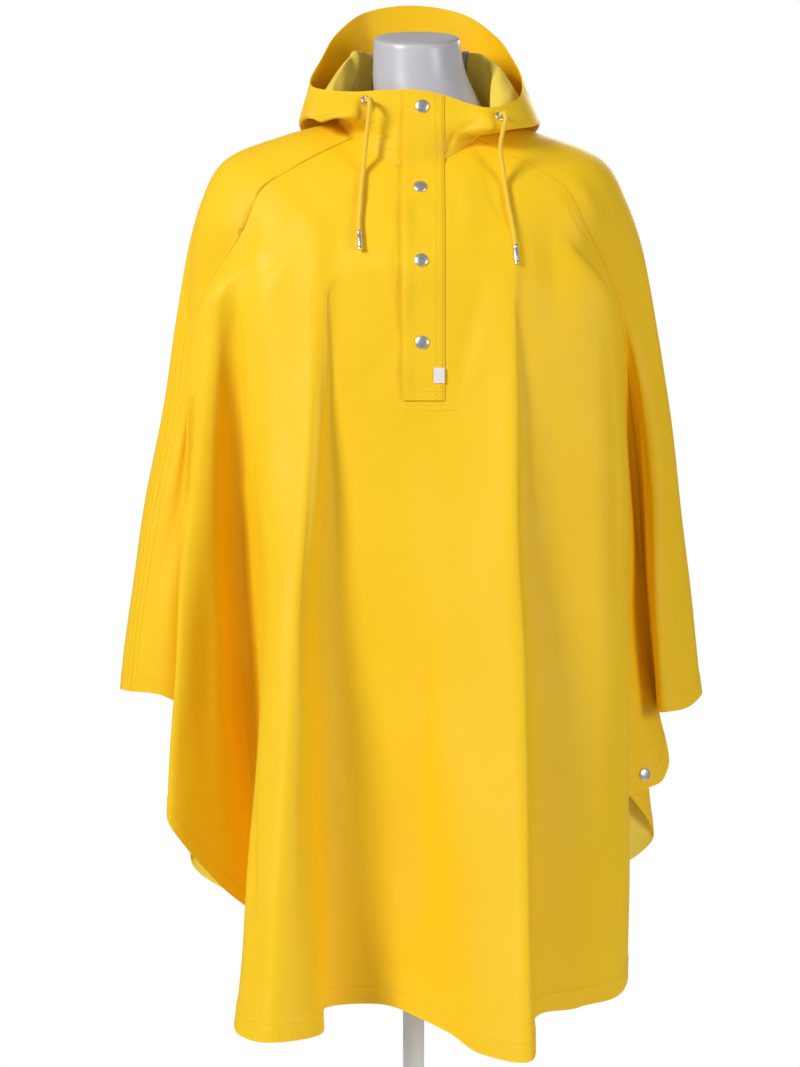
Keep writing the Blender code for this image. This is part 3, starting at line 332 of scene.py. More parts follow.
# ---------------------------------------------------------------- creases
# Each row is one soft crease, seen straight from the front, the back or a side: its start, its bend
# and its end, across (a) and up (z); the width on either side of it; and its depth, above 0 for a
# ridge.
FRONT_CREASES = (
    # name,                 start_a, start_z, bend_a, bend_z,  end_a, end_z, width_one, _two, depth
    # the left half
    ("left valley",           -0.205, 1.290, -0.202, 1.140, -0.197, 0.900, 0.018, 0.008, -0.0260),
    ("left valley low",       -0.197, 1.060, -0.191, 0.860, -0.179, 0.590, 0.018, 0.008, -0.0260),
    ("left valley flank",     -0.158, 1.285, -0.163, 1.108, -0.170, 0.906, 0.020, 0.016,  0.0045),
    ("left crest",            -0.098, 1.296, -0.102, 1.141, -0.126, 0.935, 0.020, 0.006,  0.0048),
    ("left crest low",        -0.126, 0.956, -0.129, 0.784, -0.135, 0.584, 0.020, 0.008,  0.0030),
    ("left valley soft",      -0.089, 1.285, -0.089, 1.041, -0.069, 0.774, 0.010, 0.022, -0.0014),
    ("left raglan drag",      -0.173, 1.454, -0.137, 1.422, -0.094, 1.367, 0.009, 0.012, -0.0022),
    ("left cord drag",        -0.070, 1.408, -0.058, 1.379, -0.034, 1.443, 0.010, 0.010, -0.0016),
    ("left chest drag",       -0.066, 1.340, -0.047, 1.318, -0.025, 1.283, 0.012, 0.012, -0.0014),
    ("left chest drag up",    -0.077, 1.391, -0.069, 1.372, -0.058, 1.351, 0.007, 0.009, -0.0016),
    ("left shoulder swell",   -0.200, 1.390, -0.184, 1.340, -0.174, 1.280, 0.018, 0.024,  0.0016),
    # the right half
    ("right crest upper",      0.108, 1.285,  0.108, 1.142,  0.112, 0.914, 0.020, 0.005,  0.0030),
    ("right crest lower",      0.115, 0.957,  0.120, 0.745,  0.122, 0.531, 0.020, 0.006,  0.0032),
    ("beside the right crest", 0.118, 1.252,  0.119, 1.043,  0.127, 0.825, 0.006, 0.018, -0.0028),
    ("right panel fold",       0.154, 1.252,  0.151, 1.042,  0.161, 0.735, 0.014, 0.022, -0.0026),
    ("right panel ridge",      0.205, 1.252,  0.205, 0.996,  0.209, 0.619, 0.020, 0.018,  0.0032),
    ("right collar drag",      0.081, 1.455,  0.085, 1.408,  0.109, 1.357, 0.007, 0.010, -0.0026),
    ("right chest drag",       0.048, 1.175,  0.057, 1.235,  0.080, 1.318, 0.010, 0.012, -0.0024),
    ("right collar swell",     0.054, 1.437,  0.062, 1.396,  0.059, 1.346, 0.010, 0.014,  0.0016),
    ("right raglan crease",    0.193, 1.427,  0.215, 1.393,  0.225, 1.354, 0.008, 0.012, -0.0022),
    ("right raglan swell",     0.165, 1.432,  0.196, 1.410,  0.217, 1.370, 0.008, 0.010,  0.0016),
    # the middle
    ("centre swell",           0.017, 1.142,  0.011, 0.998,  0.024, 0.845, 0.028, 0.022,  0.0022),
    ("centre trough right",    0.061, 1.131,  0.065, 0.956,  0.060, 0.741, 0.024, 0.020, -0.0020),
    ("centre trough left",    -0.027, 0.997, -0.016, 0.798, -0.020, 0.587, 0.024, 0.030, -0.0030),
    ("centre low swell",       0.000, 0.800,  0.004, 0.640,  0.010, 0.510, 0.020, 0.026, -0.0036),
    ("centre press line",     -0.020, 0.665,  0.006, 0.658,  0.036, 0.665, 0.004, 0.005, -0.0007),
    # round the placket
    ("facing edge",            0.046, 1.246,  0.049, 1.206,  0.053, 1.174, 0.003, 0.004, -0.0006),
    ("placket end",            0.037, 1.177,  0.052, 1.170,  0.068, 1.160, 0.005, 0.006, -0.0012),
    ("placket foot",          -0.003, 1.155,  0.017, 1.148,  0.041, 1.153, 0.006, 0.007, -0.0009),
    ("placket end high",       0.057, 1.179,  0.072, 1.188,  0.088, 1.201, 0.006, 0.007, -0.0008),
    ("placket left pull",     -0.018, 1.252, -0.038, 1.205, -0.069, 1.172, 0.010, 0.012, -0.0013),
    # where the folds leave the shoulders
    ("left valley head",      -0.182, 1.405, -0.196, 1.335, -0.204, 1.215, 0.022, 0.016, -0.0080),
    ("left crest head",       -0.112, 1.400, -0.108, 1.330, -0.106, 1.225, 0.018, 0.012,  0.0032),
    ("front valley head",     -0.078, 1.390, -0.084, 1.320, -0.088, 1.215, 0.014, 0.020, -0.0020),
    ("right crest head",       0.110, 1.400,  0.110, 1.330,  0.108, 1.220, 0.020, 0.008,  0.0026),
    ("right front head",       0.150, 1.390,  0.156, 1.320,  0.158, 1.215, 0.020, 0.020, -0.0036),
    # under the placket flap
    ("under the flap's edge", -0.0155, 1.455, -0.0155, 1.310, -0.0155, 1.165, 0.004, 0.003, -0.0026),
    ("flap pucker one",       -0.006, 1.385,  0.008, 1.370,  0.024, 1.350, 0.006, 0.008, -0.0009),
    ("flap pucker two",       -0.008, 1.300,  0.006, 1.288,  0.022, 1.272, 0.006, 0.008, -0.0008),
    ("flap pucker three",     -0.004, 1.180,  0.010, 1.190,  0.026, 1.186, 0.004, 0.006, -0.0009),
    # the sides and the wings
    ("left side ridge",       -0.236, 1.252, -0.240, 1.037, -0.261, 0.762, 0.014, 0.018,  0.0024),
    ("left side trough",      -0.226, 1.037, -0.235, 0.876, -0.248, 0.691, 0.014, 0.014, -0.0020),
    ("left side small",       -0.260, 0.831, -0.265, 0.762, -0.270, 0.716, 0.010, 0.012, -0.0013),
    ("left hem trough",       -0.166, 0.634, -0.170, 0.571, -0.176, 0.508, 0.012, 0.016, -0.0018),
    ("right hem trough",       0.177, 0.668,  0.175, 0.593,  0.170, 0.518, 0.014, 0.016, -0.0020),
    ("left wing trough",      -0.248, 1.286, -0.264, 1.125, -0.290, 0.938, 0.012, 0.016, -0.0130),
    ("left wing crease",      -0.283, 1.055, -0.298, 0.961, -0.308, 0.867, 0.010, 0.008, -0.0020),
    ("left wing ridge",       -0.268, 1.148, -0.278, 1.078, -0.286, 0.985, 0.008, 0.008,  0.0016),
    ("right wing trough",      0.249, 1.286,  0.262, 1.136,  0.280, 0.938, 0.010, 0.012, -0.0100),
    ("right wing crease",      0.297, 1.089,  0.312, 0.983,  0.325, 0.876, 0.010, 0.010, -0.0018),
    ("right wing ridge",       0.271, 1.194,  0.287, 1.089,  0.297, 0.984, 0.009, 0.012,  0.0016),
)
BACK_CREASES = (
    # name,                 start_a, start_z, bend_a, bend_z,  end_a, end_z, width_one, _two, depth
    ("left crest",            -0.150, 1.255, -0.176, 0.940, -0.186, 0.600, 0.020, 0.008,  0.0042),
    ("left trough",           -0.052, 1.262, -0.050, 0.960, -0.040, 0.640, 0.018, 0.014, -0.0034),
    ("middle crest",           0.018, 1.230,  0.038, 0.930,  0.054, 0.560, 0.018, 0.009,  0.0038),
    ("middle small",           0.000, 1.080,  0.008, 0.900,  0.010, 0.720, 0.010, 0.014, -0.0018),
    ("right trough",           0.086, 1.240,  0.094, 0.960,  0.104, 0.660, 0.014, 0.016, -0.0036),
    ("right crest",            0.145, 1.225,  0.172, 0.930,  0.192, 0.620, 0.012, 0.018,  0.0034),
    ("collar drag left",      -0.060, 1.430, -0.105, 1.392, -0.150, 1.330, 0.010, 0.012, -0.0020),
    ("collar drag right",      0.070, 1.428,  0.112, 1.386,  0.145, 1.318, 0.009, 0.013, -0.0022),
    ("blade swell left",      -0.110, 1.350, -0.125, 1.270, -0.120, 1.190, 0.022, 0.026,  0.0020),
    ("blade swell right",      0.100, 1.340,  0.120, 1.262,  0.110, 1.175, 0.024, 0.020,  0.0018),
    ("press line",            -0.070, 0.770, -0.010, 0.763,  0.060, 0.772, 0.004, 0.005, -0.0008),
)
LEFT_CREASES = (
    # name,                 start_a, start_z, bend_a, bend_z,  end_a, end_z, width_one, _two, depth
    ("wing fall one",          0.012, 1.240,  0.034, 1.050,  0.046, 0.870, 0.010, 0.014, -0.0024),
    ("wing fall two",          0.052, 1.200,  0.066, 1.060,  0.072, 0.900, 0.012, 0.010,  0.0020),
    ("back fall",              0.120, 1.060,  0.136, 0.860,  0.146, 0.680, 0.012, 0.016, -0.0022),
)
RIGHT_CREASES = (
    # name,                 start_a, start_z, bend_a, bend_z,  end_a, end_z, width_one, _two, depth
    ("wing fall one",          0.020, 1.230,  0.036, 1.060,  0.042, 0.880, 0.012, 0.010, -0.0022),
    ("wing fall two",          0.056, 1.180,  0.068, 1.040,  0.078, 0.900, 0.010, 0.012,  0.0020),
    ("back fall",              0.118, 1.080,  0.134, 0.880,  0.146, 0.700, 0.014, 0.014, -0.0024),
)
VIEWS = (
    # direction from which the creases are seen, creases
    ((0.0, -1.0), FRONT_CREASES),
    ((0.0, 1.0), BACK_CREASES),
    ((-1.0, 0.0), LEFT_CREASES),
    ((1.0, 0.0), RIGHT_CREASES),
)
VIEW_FADE = (0.10, 0.45)  # how squarely the cloth faces a view as its creases start, and are whole
CREASE_STEPS = 32       # pieces into which a crease's line is cut
CREASE_REACH = 2.6      # widths from a crease at which it has died out
SHOULDER_SINK = 0.0011  # deepest crease where the cloth lies on the form
SKIRT_SINK = 0.0300

# The hood's creases, on a flat map: turn round the neck in degrees, and share up from the neck
# seam to the rim. The hood is about HOOD_ROUND metres round and HOOD_RISE metres up.
HOOD_ROUND = 0.60
HOOD_RISE = 0.17
HOOD_CREASES = (
    # name,             start_turn and _up, bend_turn and _up, end_turn and _up, width_one, _two, depth
    ("left roll pocket",         82, 0.50,  76, 0.60,  70, 0.60, 0.005, 0.006, -0.0070),
    ("left roll bulge",          72, 0.56,  64, 0.66,  56, 0.60, 0.008, 0.006,  0.0045),
    ("left eyelet pucker one",   33, 0.92,  27, 0.70,  26, 0.45, 0.004, 0.004, -0.0024),
    ("left eyelet pucker two",   31, 0.80,  22, 0.62,  16, 0.36, 0.004, 0.004, -0.0020),
    ("left collar wrinkle one",  30, 0.30,  20, 0.36,  12, 0.26, 0.003, 0.004, -0.0012),
    ("left collar wrinkle two",  24, 0.16,  18, 0.22,  10, 0.12, 0.004, 0.003,  0.0010),
    ("left collar wrinkle three", 44, 0.46, 36, 0.50,  28, 0.44, 0.005, 0.005, -0.0026),
    ("right roll fold",         326, 0.20, 316, 0.36, 304, 0.42, 0.004, 0.006, -0.0048),
    ("right roll swell",        322, 0.42, 312, 0.52, 300, 0.56, 0.006, 0.006,  0.0018),
    ("right collar wrinkle one", 338, 0.10, 332, 0.30, 334, 0.52, 0.004, 0.005, -0.0020),
    ("right collar wrinkle two", 344, 0.06, 338, 0.16, 330, 0.12, 0.003, 0.003, -0.0010),
    ("right eyelet pucker",     316, 0.84, 324, 0.70, 330, 0.48, 0.005, 0.005, -0.0024),
    ("left lobe edge",          102, 0.10, 106, 0.22, 110, 0.34, 0.014, 0.004, -0.0070),
    ("left lobe trough",        120, 0.06, 120, 0.20, 124, 0.34, 0.006, 0.008,  0.0040),
    ("right lobe edge",         262, 0.34, 276, 0.24, 290, 0.08, 0.005, 0.012, -0.0070),
    ("right lobe trough",       248, 0.34, 256, 0.20, 266, 0.06, 0.008, 0.006,  0.0044),
    ("crown trough left",       138, 0.98, 146, 0.82, 142, 0.60, 0.010, 0.014, -0.0050),
    ("crown swell left",        156, 1.00, 160, 0.84, 158, 0.62, 0.014, 0.012,  0.0030),
    ("crown trough middle",     186, 0.98, 190, 0.84, 186, 0.66, 0.010, 0.010, -0.0026),
    ("crown trough right",      214, 0.98, 208, 0.82, 214, 0.60, 0.012, 0.010, -0.0050),
    ("crown swell right",       232, 0.98, 234, 0.84, 230, 0.64, 0.012, 0.010,  0.0034),
    ("back fall left",          150, 0.58, 156, 0.48, 150, 0.36, 0.012, 0.010, -0.0026),
    ("back fall middle",        178, 0.60, 184, 0.48, 180, 0.34, 0.012, 0.012, -0.0022),
    ("back fall right",         212, 0.58, 206, 0.46, 210, 0.34, 0.010, 0.012, -0.0026),
)

SWELLS = (
    # Broad unevenness of hanging cloth: waves round the figure, waves down it, shift, height
    (7.0, 2.1, 0.3, 0.0011),
    (11.0, -1.3, 1.9, 0.0009),
    (17.0, 3.4, 4.0, 0.0006),
    (5.0, 4.7, 2.6, 0.0008),
)
SWELL_DOWN = (0.05, 0.45)  # distances down at which they start, and are whole
HOOD_HALF_ROUND = 0.475  # longest way round one half and up it, to count the facets
HOOD_HALF_UP = 0.30
HOOD_FACING_UP = 0.72    # share up the hood above which the facing shows inside

# ---------------------------------------------------------------- colours, camera and lights
NOISE_RANGE = (0.3, 0.7)  # between which nearly all of a noise texture lies
RIB_SCALE = 0.314       # metres from rib to rib of a wave texture at scale 1
COLOURS = {
    # finish: its colour, and the two colours between which it drifts
    "coated_cloth": ((0.965, 0.600, 0.010), (0.970, 0.610, 0.011), (0.950, 0.580, 0.008)),
    "cloth_inside": ((0.930, 0.690, 0.070), (0.940, 0.700, 0.075), (0.880, 0.630, 0.055)),
    "thread": ((0.930, 0.590, 0.030),),
    "drawcord": ((0.950, 0.620, 0.035), (0.985, 0.660, 0.045), (0.860, 0.520, 0.020)),
    "grey_lining": ((0.330, 0.325, 0.370), (0.300, 0.295, 0.345), (0.380, 0.375, 0.420)),
    "snap_metal": ((0.830, 0.825, 0.835),),
    "label_tape": ((0.840, 0.835, 0.820),),
    "form_lacquer": ((0.560, 0.555, 0.600), (0.570, 0.565, 0.610), (0.540, 0.535, 0.585)),
    # the neck's flat top: the form's own lacquer, given a darker grey as painted shade
    "form_top_painted_shade": ((0.460, 0.440, 0.450),),
    "stand_paint": ((0.800, 0.800, 0.800), (0.810, 0.810, 0.810), (0.780, 0.780, 0.785)),
    "floor": ((0.900, 0.900, 0.900),),
}
CAMERA_PLACE = (-0.016, -3.2, 1.25)
CAMERA_TARGET = (-0.016, 0.0, 1.0157)
CAMERA_LENS = 93.0      # millimetres, and the width of the film
CAMERA_FILM = 36.0
LIGHTS = (
    # name, place, target, size, power
    ("key", (-2.5, -2.1, 2.8), (0.0, 0.0, 1.1), 1.1, 102.0),
    ("fill", (2.8, -2.3, 1.7), (0.0, 0.0, 0.9), 1.4, 44.0),
    ("back", (0.6, 2.8, 2.4), (0.0, 0.0, 1.1), 2.0, 60.0),
)
WORLD_SEEN = 1.0        # white surroundings as seen, and as they light the object
WORLD_LIGHT = 0.26
FLOOR_RADIUS = 1.35
FLOOR_SIDES = 96
FLOOR_Z = -0.0005       # just under the base


# ================================================================ camera
def make_camera():
    """The photograph's view: a little above the chest, looking slightly down."""
    lens = bpy.data.cameras.new("camera")
    lens.lens = CAMERA_LENS
    lens.sensor_width = CAMERA_FILM
    camera = bpy.data.objects.new("camera", lens)
    aim_at(camera, CAMERA_PLACE, CAMERA_TARGET)
    bpy.context.scene.collection.objects.link(camera)
    bpy.context.scene.camera = camera
    bpy.context.scene.view_settings.view_transform = "Standard"


def aim_at(thing, place, target):
    thing.location = place
    thing.rotation_euler = (Vector(target) - thing.location).to_track_quat("-Z", "Y").to_euler()


# ================================================================ splines
def hermite(start, end, start_pull, end_pull, share):
    """Cubic from start to end with the given pulls, at share 0 to 1 of the way."""
    share = share[..., None]
    square = share * share
    cube = square * share
    return ((2 * cube - 3 * square + 1) * start + (cube - 2 * square + share) * start_pull
            + (3 * square - 2 * cube) * end + (cube - square) * end_pull)


def closed_spline(knots, values, at):
    """Smooth loop through values at the knots, which run from 0 and come round at 1."""
    span = np.diff(np.append(knots, knots[0] + 1.0))
    ahead = (np.roll(values, -1, axis=0) - values) / span[:, None]
    behind = np.roll(ahead, 1, axis=0)
    span_behind = np.roll(span, 1)
    weight = (span_behind / (span + span_behind))[:, None]
    pull = ahead * weight + behind * (1.0 - weight)
    at = np.mod(at, 1.0)
    here = np.searchsorted(knots, at, side="right") - 1
    after = (here + 1) % len(knots)
    step = span[here]
    share = (at - knots[here]) / step
    return hermite(values[here], values[after], pull[here] * step[:, None],
                   pull[after] * step[:, None], share)


def section_pulls(knots, rings):
    """Slope at each ring of an open section, from the rings beside it."""
    span = np.diff(knots)
    slope = [(rings[i + 1] - rings[i]) / span[i] for i in range(len(span))]
    pulls = [slope[0]]
    for i in range(1, len(span)):
        weight = span[i - 1] / (span[i - 1] + span[i])
        pulls.append(slope[i] * weight + slope[i - 1] * (1.0 - weight))
    pulls.append(slope[-1])
    return np.array(pulls)


def along_section(knots, rings, pulls, at):
    """Points at distance at along each section; rings is (ring, column, 3), at is (row, column)."""
    knots = np.asarray(knots)
    here = np.clip(np.searchsorted(knots, at, side="right") - 1, 0, len(knots) - 2)
    step = knots[here + 1] - knots[here]
    share = (at - knots[here]) / step
    column = np.broadcast_to(np.arange(at.shape[1]), at.shape)
    return hermite(rings[here, column], rings[here + 1, column],
                   pulls[here, column] * step[..., None],
                   pulls[here + 1, column] * step[..., None], share)


def unit(vectors):
    return vectors / np.linalg.norm(vectors, axis=-1, keepdims=True)


def smoothstep(low, high, values):
    share = np.clip((values - low) / (high - low), 0.0, 1.0)
    return share * share * (3.0 - 2.0 * share)


# ================================================================ the poncho's body
def ring_on_shoulders(turn, half_width, front, back, side_z, front_z, back_z):
    """Oval ring whose height falls from the shoulders' ridge to the front and the back."""
    angle = np.radians(turn)
    forward = np.cos(angle)
    depth = np.where(forward > 0, front, back)
    centre_z = np.where(forward > 0, front_z, back_z)
    x = -half_width * np.sin(angle)
    y = -depth * forward
    z = centre_z + (side_z - centre_z) * np.sin(angle) ** 2
    return np.stack([x, y, z], axis=-1)


SKIRT_RINGS = ((2, CHEST_Z), (4, HIP_Z), (6, LOW_Z))  # first of the ring's columns in FOLDS, height


def plan_of(first):
    """Each fold line's place in plan on one ring, whose columns in FOLDS begin at first."""
    return np.array([row[first:first + 2] for row in FOLDS])


def fold_knots():
    """Share of the way round at each fold line, and the distances between them.

    The distances are the mean of those on the hip ring and the low ring.
    """
    hip, low = (plan_of(first) for first, _ in SKIRT_RINGS[1:])
    spans = (np.linalg.norm(np.roll(hip, -1, axis=0) - hip, axis=1)
             + np.linalg.norm(np.roll(low, -1, axis=0) - low, axis=1)) / 2
    knots = np.concatenate([[0.0], np.cumsum(spans)])
    return knots[:-1] / knots[-1], spans


KNOTS, SPANS = fold_knots()
FOLD_AT = {row[0]: knot for row, knot in zip(FOLDS, KNOTS)}


def down_at(height):
    """Distance down the skirt at a height."""
    return CHEST_DOWN + CHEST_Z - height


DOWN = np.array([ring[1] for ring in YOKE] + [down_at(height) for _, height in SKIRT_RINGS])


def turn_at(around):
    """The turn on the shoulders at each share of the way round."""
    turns = np.array([row[1] for row in FOLDS]) / 360.0
    drift = closed_spline(KNOTS, (turns - KNOTS)[:, None], around)[:, 0]
    return (around + drift) * 360.0


def down_at_hem(around):
    """Distance down each fold line at which the hem cuts it."""
    hem = closed_spline(KNOTS, np.array([[row[-1]] for row in FOLDS]), around)[:, 0]
    return down_at(hem)


def body_pulls(rings):
    """Slopes down the body.

    Below the shoulders none is so steep that the cloth bulges past its rings.
    """
    pulls = section_pulls(DOWN, rings)
    span = np.diff(DOWN)
    slope = np.diff(rings, axis=0) / span[:, None, None]
    for i in range(len(YOKE), len(rings) - 1):
        above, below = slope[i - 1], slope[i]
        same_way = above * below > 0
        spread = (2 * span[i] + span[i - 1]) * below + (span[i] + 2 * span[i - 1]) * above
        settled = 3 * (span[i - 1] + span[i]) * above * below / np.where(same_way, spread, 1.0)
        pulls[i] = np.where(same_way, settled, 0.0)
    pulls[len(YOKE):, :, 2] = -1.0  # the skirt hangs straight down
    return pulls


def body_surface(around, down):
    """Middle of the cloth at share around (columns) and distance down (rows, columns)."""
    turn = turn_at(around)
    rings = [ring_on_shoulders(turn, *ring[2:]) for ring in YOKE]
    for first, height in SKIRT_RINGS:
        flat = closed_spline(KNOTS, plan_of(first), around)
        rings.append(np.column_stack([flat, np.full(len(flat), height)]))
    rings = np.array(rings)
    return along_section(DOWN, rings, body_pulls(rings), down)


def both_ways(surface, around, down, aside=0.007):
    """Unit directions from each point of a surface to the cloth on either side of it."""
    middle = surface(around, down)
    return unit(surface(around - aside, down) - middle), unit(surface(around + aside, down) - middle)


def outward(surface, around, down):
    """Unit normals on the side away from the figure; in a sharp groove they halve its angle."""
    below = 0.0001
    before, after = both_ways(surface, around, down)
    along = surface(around, down + below) - surface(around, down - below)
    return unit(np.cross(after - before, along))


def hood_surface(around, up):
    """Middle of the hood's cloth at share around and share up from the neck seam to the rim."""
    turn = np.mod(around, 1.0) * 360.0
    knots = np.array([row[1] for row in HOOD]) / 360.0
    rings = [ring_on_shoulders(turn, *YOKE[0][2:])]
    for first in HOOD_RINGS:
        rings.append(closed_spline(knots, np.array([row[first:first + 3] for row in HOOD]), around))
    rings = np.array(rings)
    return along_section(HOOD_KNOTS, rings, section_pulls(HOOD_KNOTS, rings), up)


# ================================================================ materials
MATERIALS = {}


class Finish:
    """A material with its shader, and short ways to add texture nodes to it."""

    def __init__(self, name, roughness, metallic=0.0, **sockets):
        colour = (*COLOURS[name][0], 1.0)
        self.name = name
        self.material = bpy.data.materials.new(name)
        self.material.use_nodes = True
        self.tree = self.material.node_tree
        self.shader = self.tree.nodes["Principled BSDF"]
        self.shader.inputs["Base Color"].default_value = colour
        self.shader.inputs["Roughness"].default_value = roughness
        self.shader.inputs["Metallic"].default_value = metallic
        for socket, value in sockets.items():
            self.shader.inputs[socket.replace("_", " ")].default_value = value
        self.material.diffuse_color = colour
        self.place = self.tree.nodes.new("ShaderNodeTexCoord").outputs["Object"]
        MATERIALS[name] = self.material

    def link(self, output, target):
        self.tree.links.new(output, target)

    def noise(self, size, detail=2.0, stretch=(1.0, 1.0, 1.0)):
        """Smooth noise whose lumps are about size metres across."""
        spread = self.tree.nodes.new("ShaderNodeMapping")
        spread.inputs["Scale"].default_value = stretch
        self.link(self.place, spread.inputs["Vector"])
        node = self.tree.nodes.new("ShaderNodeTexNoise")
        node.inputs["Scale"].default_value = 1.0 / size
        node.inputs["Detail"].default_value = detail
        self.link(spread.outputs["Vector"], node.inputs["Vector"])
        return node.outputs["Fac"]

    def uneven(self, size, low=0.0, high=1.0, detail=3.0):
        """Noise whose usual range is spread over low to high."""
        node = self.tree.nodes.new("ShaderNodeMapRange")
        names = ("From Min", "From Max", "To Min", "To Max")
        for name, value in zip(names, (*NOISE_RANGE, low, high)):
            node.inputs[name].default_value = value
        self.link(self.noise(size, detail), node.inputs["Value"])
        return node.outputs["Result"]

    def weave(self, size, stretch):
        """Threads both ways: lumps drawn out level times lumps drawn out upright."""
        node = self.tree.nodes.new("ShaderNodeMath")
        node.operation = "MULTIPLY"
        self.link(self.noise(size, 1.0, (1.0, 1.0, stretch)), node.inputs[0])
        self.link(self.noise(size, 1.0, (stretch, stretch, 1.0)), node.inputs[1])
        return node.outputs["Value"]

    def ribs(self, size, direction, distortion=0.0):
        node = self.tree.nodes.new("ShaderNodeTexWave")
        node.bands_direction = direction
        node.inputs["Scale"].default_value = RIB_SCALE / size
        node.inputs["Distortion"].default_value = distortion
        self.link(self.place, node.inputs["Vector"])
        return node.outputs["Fac"]

    def roughness(self, factor):
        self.link(factor, self.shader.inputs["Roughness"])

    def drift(self, factor):
        """The base colour drifts between the finish's two colours by a factor from 0 to 1."""
        first, second = COLOURS[self.name][1:]
        node = self.tree.nodes.new("ShaderNodeMix")
        node.data_type = "RGBA"
        node.inputs["A"].default_value = (*first, 1.0)
        node.inputs["B"].default_value = (*second, 1.0)
        self.link(factor, node.inputs["Factor"])
        self.link(node.outputs["Result"], self.shader.inputs["Base Color"])

    def bumps(self, *layers):
        """Stacked bumps: (height socket, strength, depth in metres)."""
        below = None
        for height, strength, depth in layers:
            node = self.tree.nodes.new("ShaderNodeBump")
            node.inputs["Strength"].default_value = strength
            node.inputs["Distance"].default_value = depth
            self.link(height, node.inputs["Height"])
            if below is not None:
                self.link(below, node.inputs["Normal"])
            below = node.outputs["Normal"]
        self.link(below, self.shader.inputs["Normal"])


def make_materials():
    coated = Finish("coated_cloth", 0.55, Specular_IOR_Level=0.28)
    coated.drift(coated.uneven(0.18))
    coated.roughness(coated.uneven(0.030, 0.50, 0.60))
    coated.bumps((coated.noise(0.0065), 0.20, 0.0004), (coated.weave(0.0009, 2.2), 0.25, 0.0002))

    inside = Finish("cloth_inside", 0.80, Sheen_Weight=0.10, Sheen_Roughness=0.6)
    inside.drift(inside.uneven(0.05))
    inside.bumps((inside.weave(0.0008, 2.6), 0.5, 0.0004))

    thread = Finish("thread", 0.60, Sheen_Weight=0.2)
    thread.bumps((thread.noise(0.0004), 0.4, 0.0002))

    cord = Finish("drawcord", 0.75, Sheen_Weight=0.25, Sheen_Roughness=0.5)
    cord.drift(cord.noise(0.0012))
    cord.bumps((cord.noise(0.0005), 0.5, 0.0003))

    lining = Finish("grey_lining", 0.85, Sheen_Weight=0.2)
    lining.drift(lining.noise(0.002, 3.0))
    lining.bumps((lining.ribs(0.0012, "DIAGONAL", 1.0), 0.4, 0.0003))

    metal = Finish("snap_metal", 0.30, metallic=1.0)
    metal.roughness(metal.uneven(0.002, 0.22, 0.38))
    metal.bumps((metal.noise(0.0007), 0.10, 0.0001))

    tape = Finish("label_tape", 0.70, Sheen_Weight=0.1)
    tape.bumps((tape.ribs(0.0005, "Z"), 0.5, 0.0002))

    lacquer = Finish("form_lacquer", 0.34, Coat_Weight=0.25, Coat_Roughness=0.25)
    lacquer.drift(lacquer.uneven(0.12, detail=2.0))
    lacquer.bumps((lacquer.noise(0.008), 0.06, 0.0003))

    # The neck's flat top is the form's lacquer, matt, in a darker grey that is painted shade
    cap = Finish("form_top_painted_shade", 0.90, Specular_IOR_Level=0.10)
    cap.bumps((cap.noise(0.002), 0.10, 0.0002))

    paint = Finish("stand_paint", 0.42, Coat_Weight=0.2, Coat_Roughness=0.3)
    paint.drift(paint.uneven(0.04))
    paint.bumps((paint.noise(0.0015), 0.12, 0.0002))

    floor = Finish("floor", 0.70)
    floor.bumps((floor.noise(0.05), 0.05, 0.001))


# ================================================================ meshes
def add_piece(name, vertices, faces, finishes, replaces=(), face_finish=None):
    """A smooth mesh that is part of the object; face_finish gives each face's number in finishes."""
    mesh = bpy.data.meshes.new(name)
    mesh.from_pydata(vertices.tolist(), [], faces)
    for finish in finishes:
        mesh.materials.append(MATERIALS[finish])
    if face_finish is not None:
        mesh.polygons.foreach_set("material_index", face_finish)
    mesh.shade_smooth()
    mesh.set_sharp_from_angle(angle=math.radians(SHARP_ANGLE))
    piece = bpy.data.objects.new(name, mesh)
    bpy.context.scene.collection.objects.link(piece)
    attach(piece, "root")
    for node in replaces:
        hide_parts(node)
    return piece


def shell(name, outer, inner, finishes, replaces=(), keep=None, inner_finish=None):
    """Thin closed cloth between two grids of points, finishes[0] outside and finishes[1] inside."""
    rows, columns = outer.shape[:2]
    if keep is None:
        keep = np.ones((rows - 1, columns - 1), dtype=bool)
    if inner_finish is None:
        inner_finish = np.ones(keep.shape, dtype=int)
    far = rows * columns
    number = np.arange(far).reshape(rows, columns)
    corners = np.stack([number[:-1, :-1], number[1:, :-1], number[1:, 1:], number[:-1, 1:]], axis=-1)
    faces = [corners[keep], corners[keep][:, ::-1] + far]
    finish = [np.zeros(keep.sum(), dtype=int), inner_finish[keep]]
    padded = np.pad(keep, 1)
    sides = (padded[1:-1, :-2], padded[2:, 1:-1], padded[1:-1, 2:], padded[:-2, 1:-1])
    for start, beside in enumerate(sides):
        edge = corners[keep & ~beside]
        first, second = edge[:, start], edge[:, (start + 1) % 4]
        faces.append(np.stack([second, first, first + far, second + far], axis=-1))
        finish.append(np.zeros(len(edge), dtype=int))
    faces = np.concatenate(faces)
    used = np.unique(faces)
    vertices = np.concatenate([outer.reshape(-1, 3), inner.reshape(-1, 3)])[used]
    return add_piece(name, vertices, np.searchsorted(used, faces).tolist(), finishes, replaces,
                     np.concatenate(finish))


def bands(rings, sides, closed=False):
    """Faces between each ring of points and the next, and back to the first if closed."""
    low = np.arange(rings if closed else rings - 1)[:, None] * sides
    high = (low + sides) % (rings * sides)
    here = np.arange(sides)
    after = np.roll(here, -1)
    return np.stack([low + here, low + after, high + after, high + here], axis=-1).reshape(-1, 4)


def ends(rings, sides):
    """The faces that close the first and the last ring of points."""
    return [list(range(sides))[::-1], list(range((rings - 1) * sides, rings * sides))]


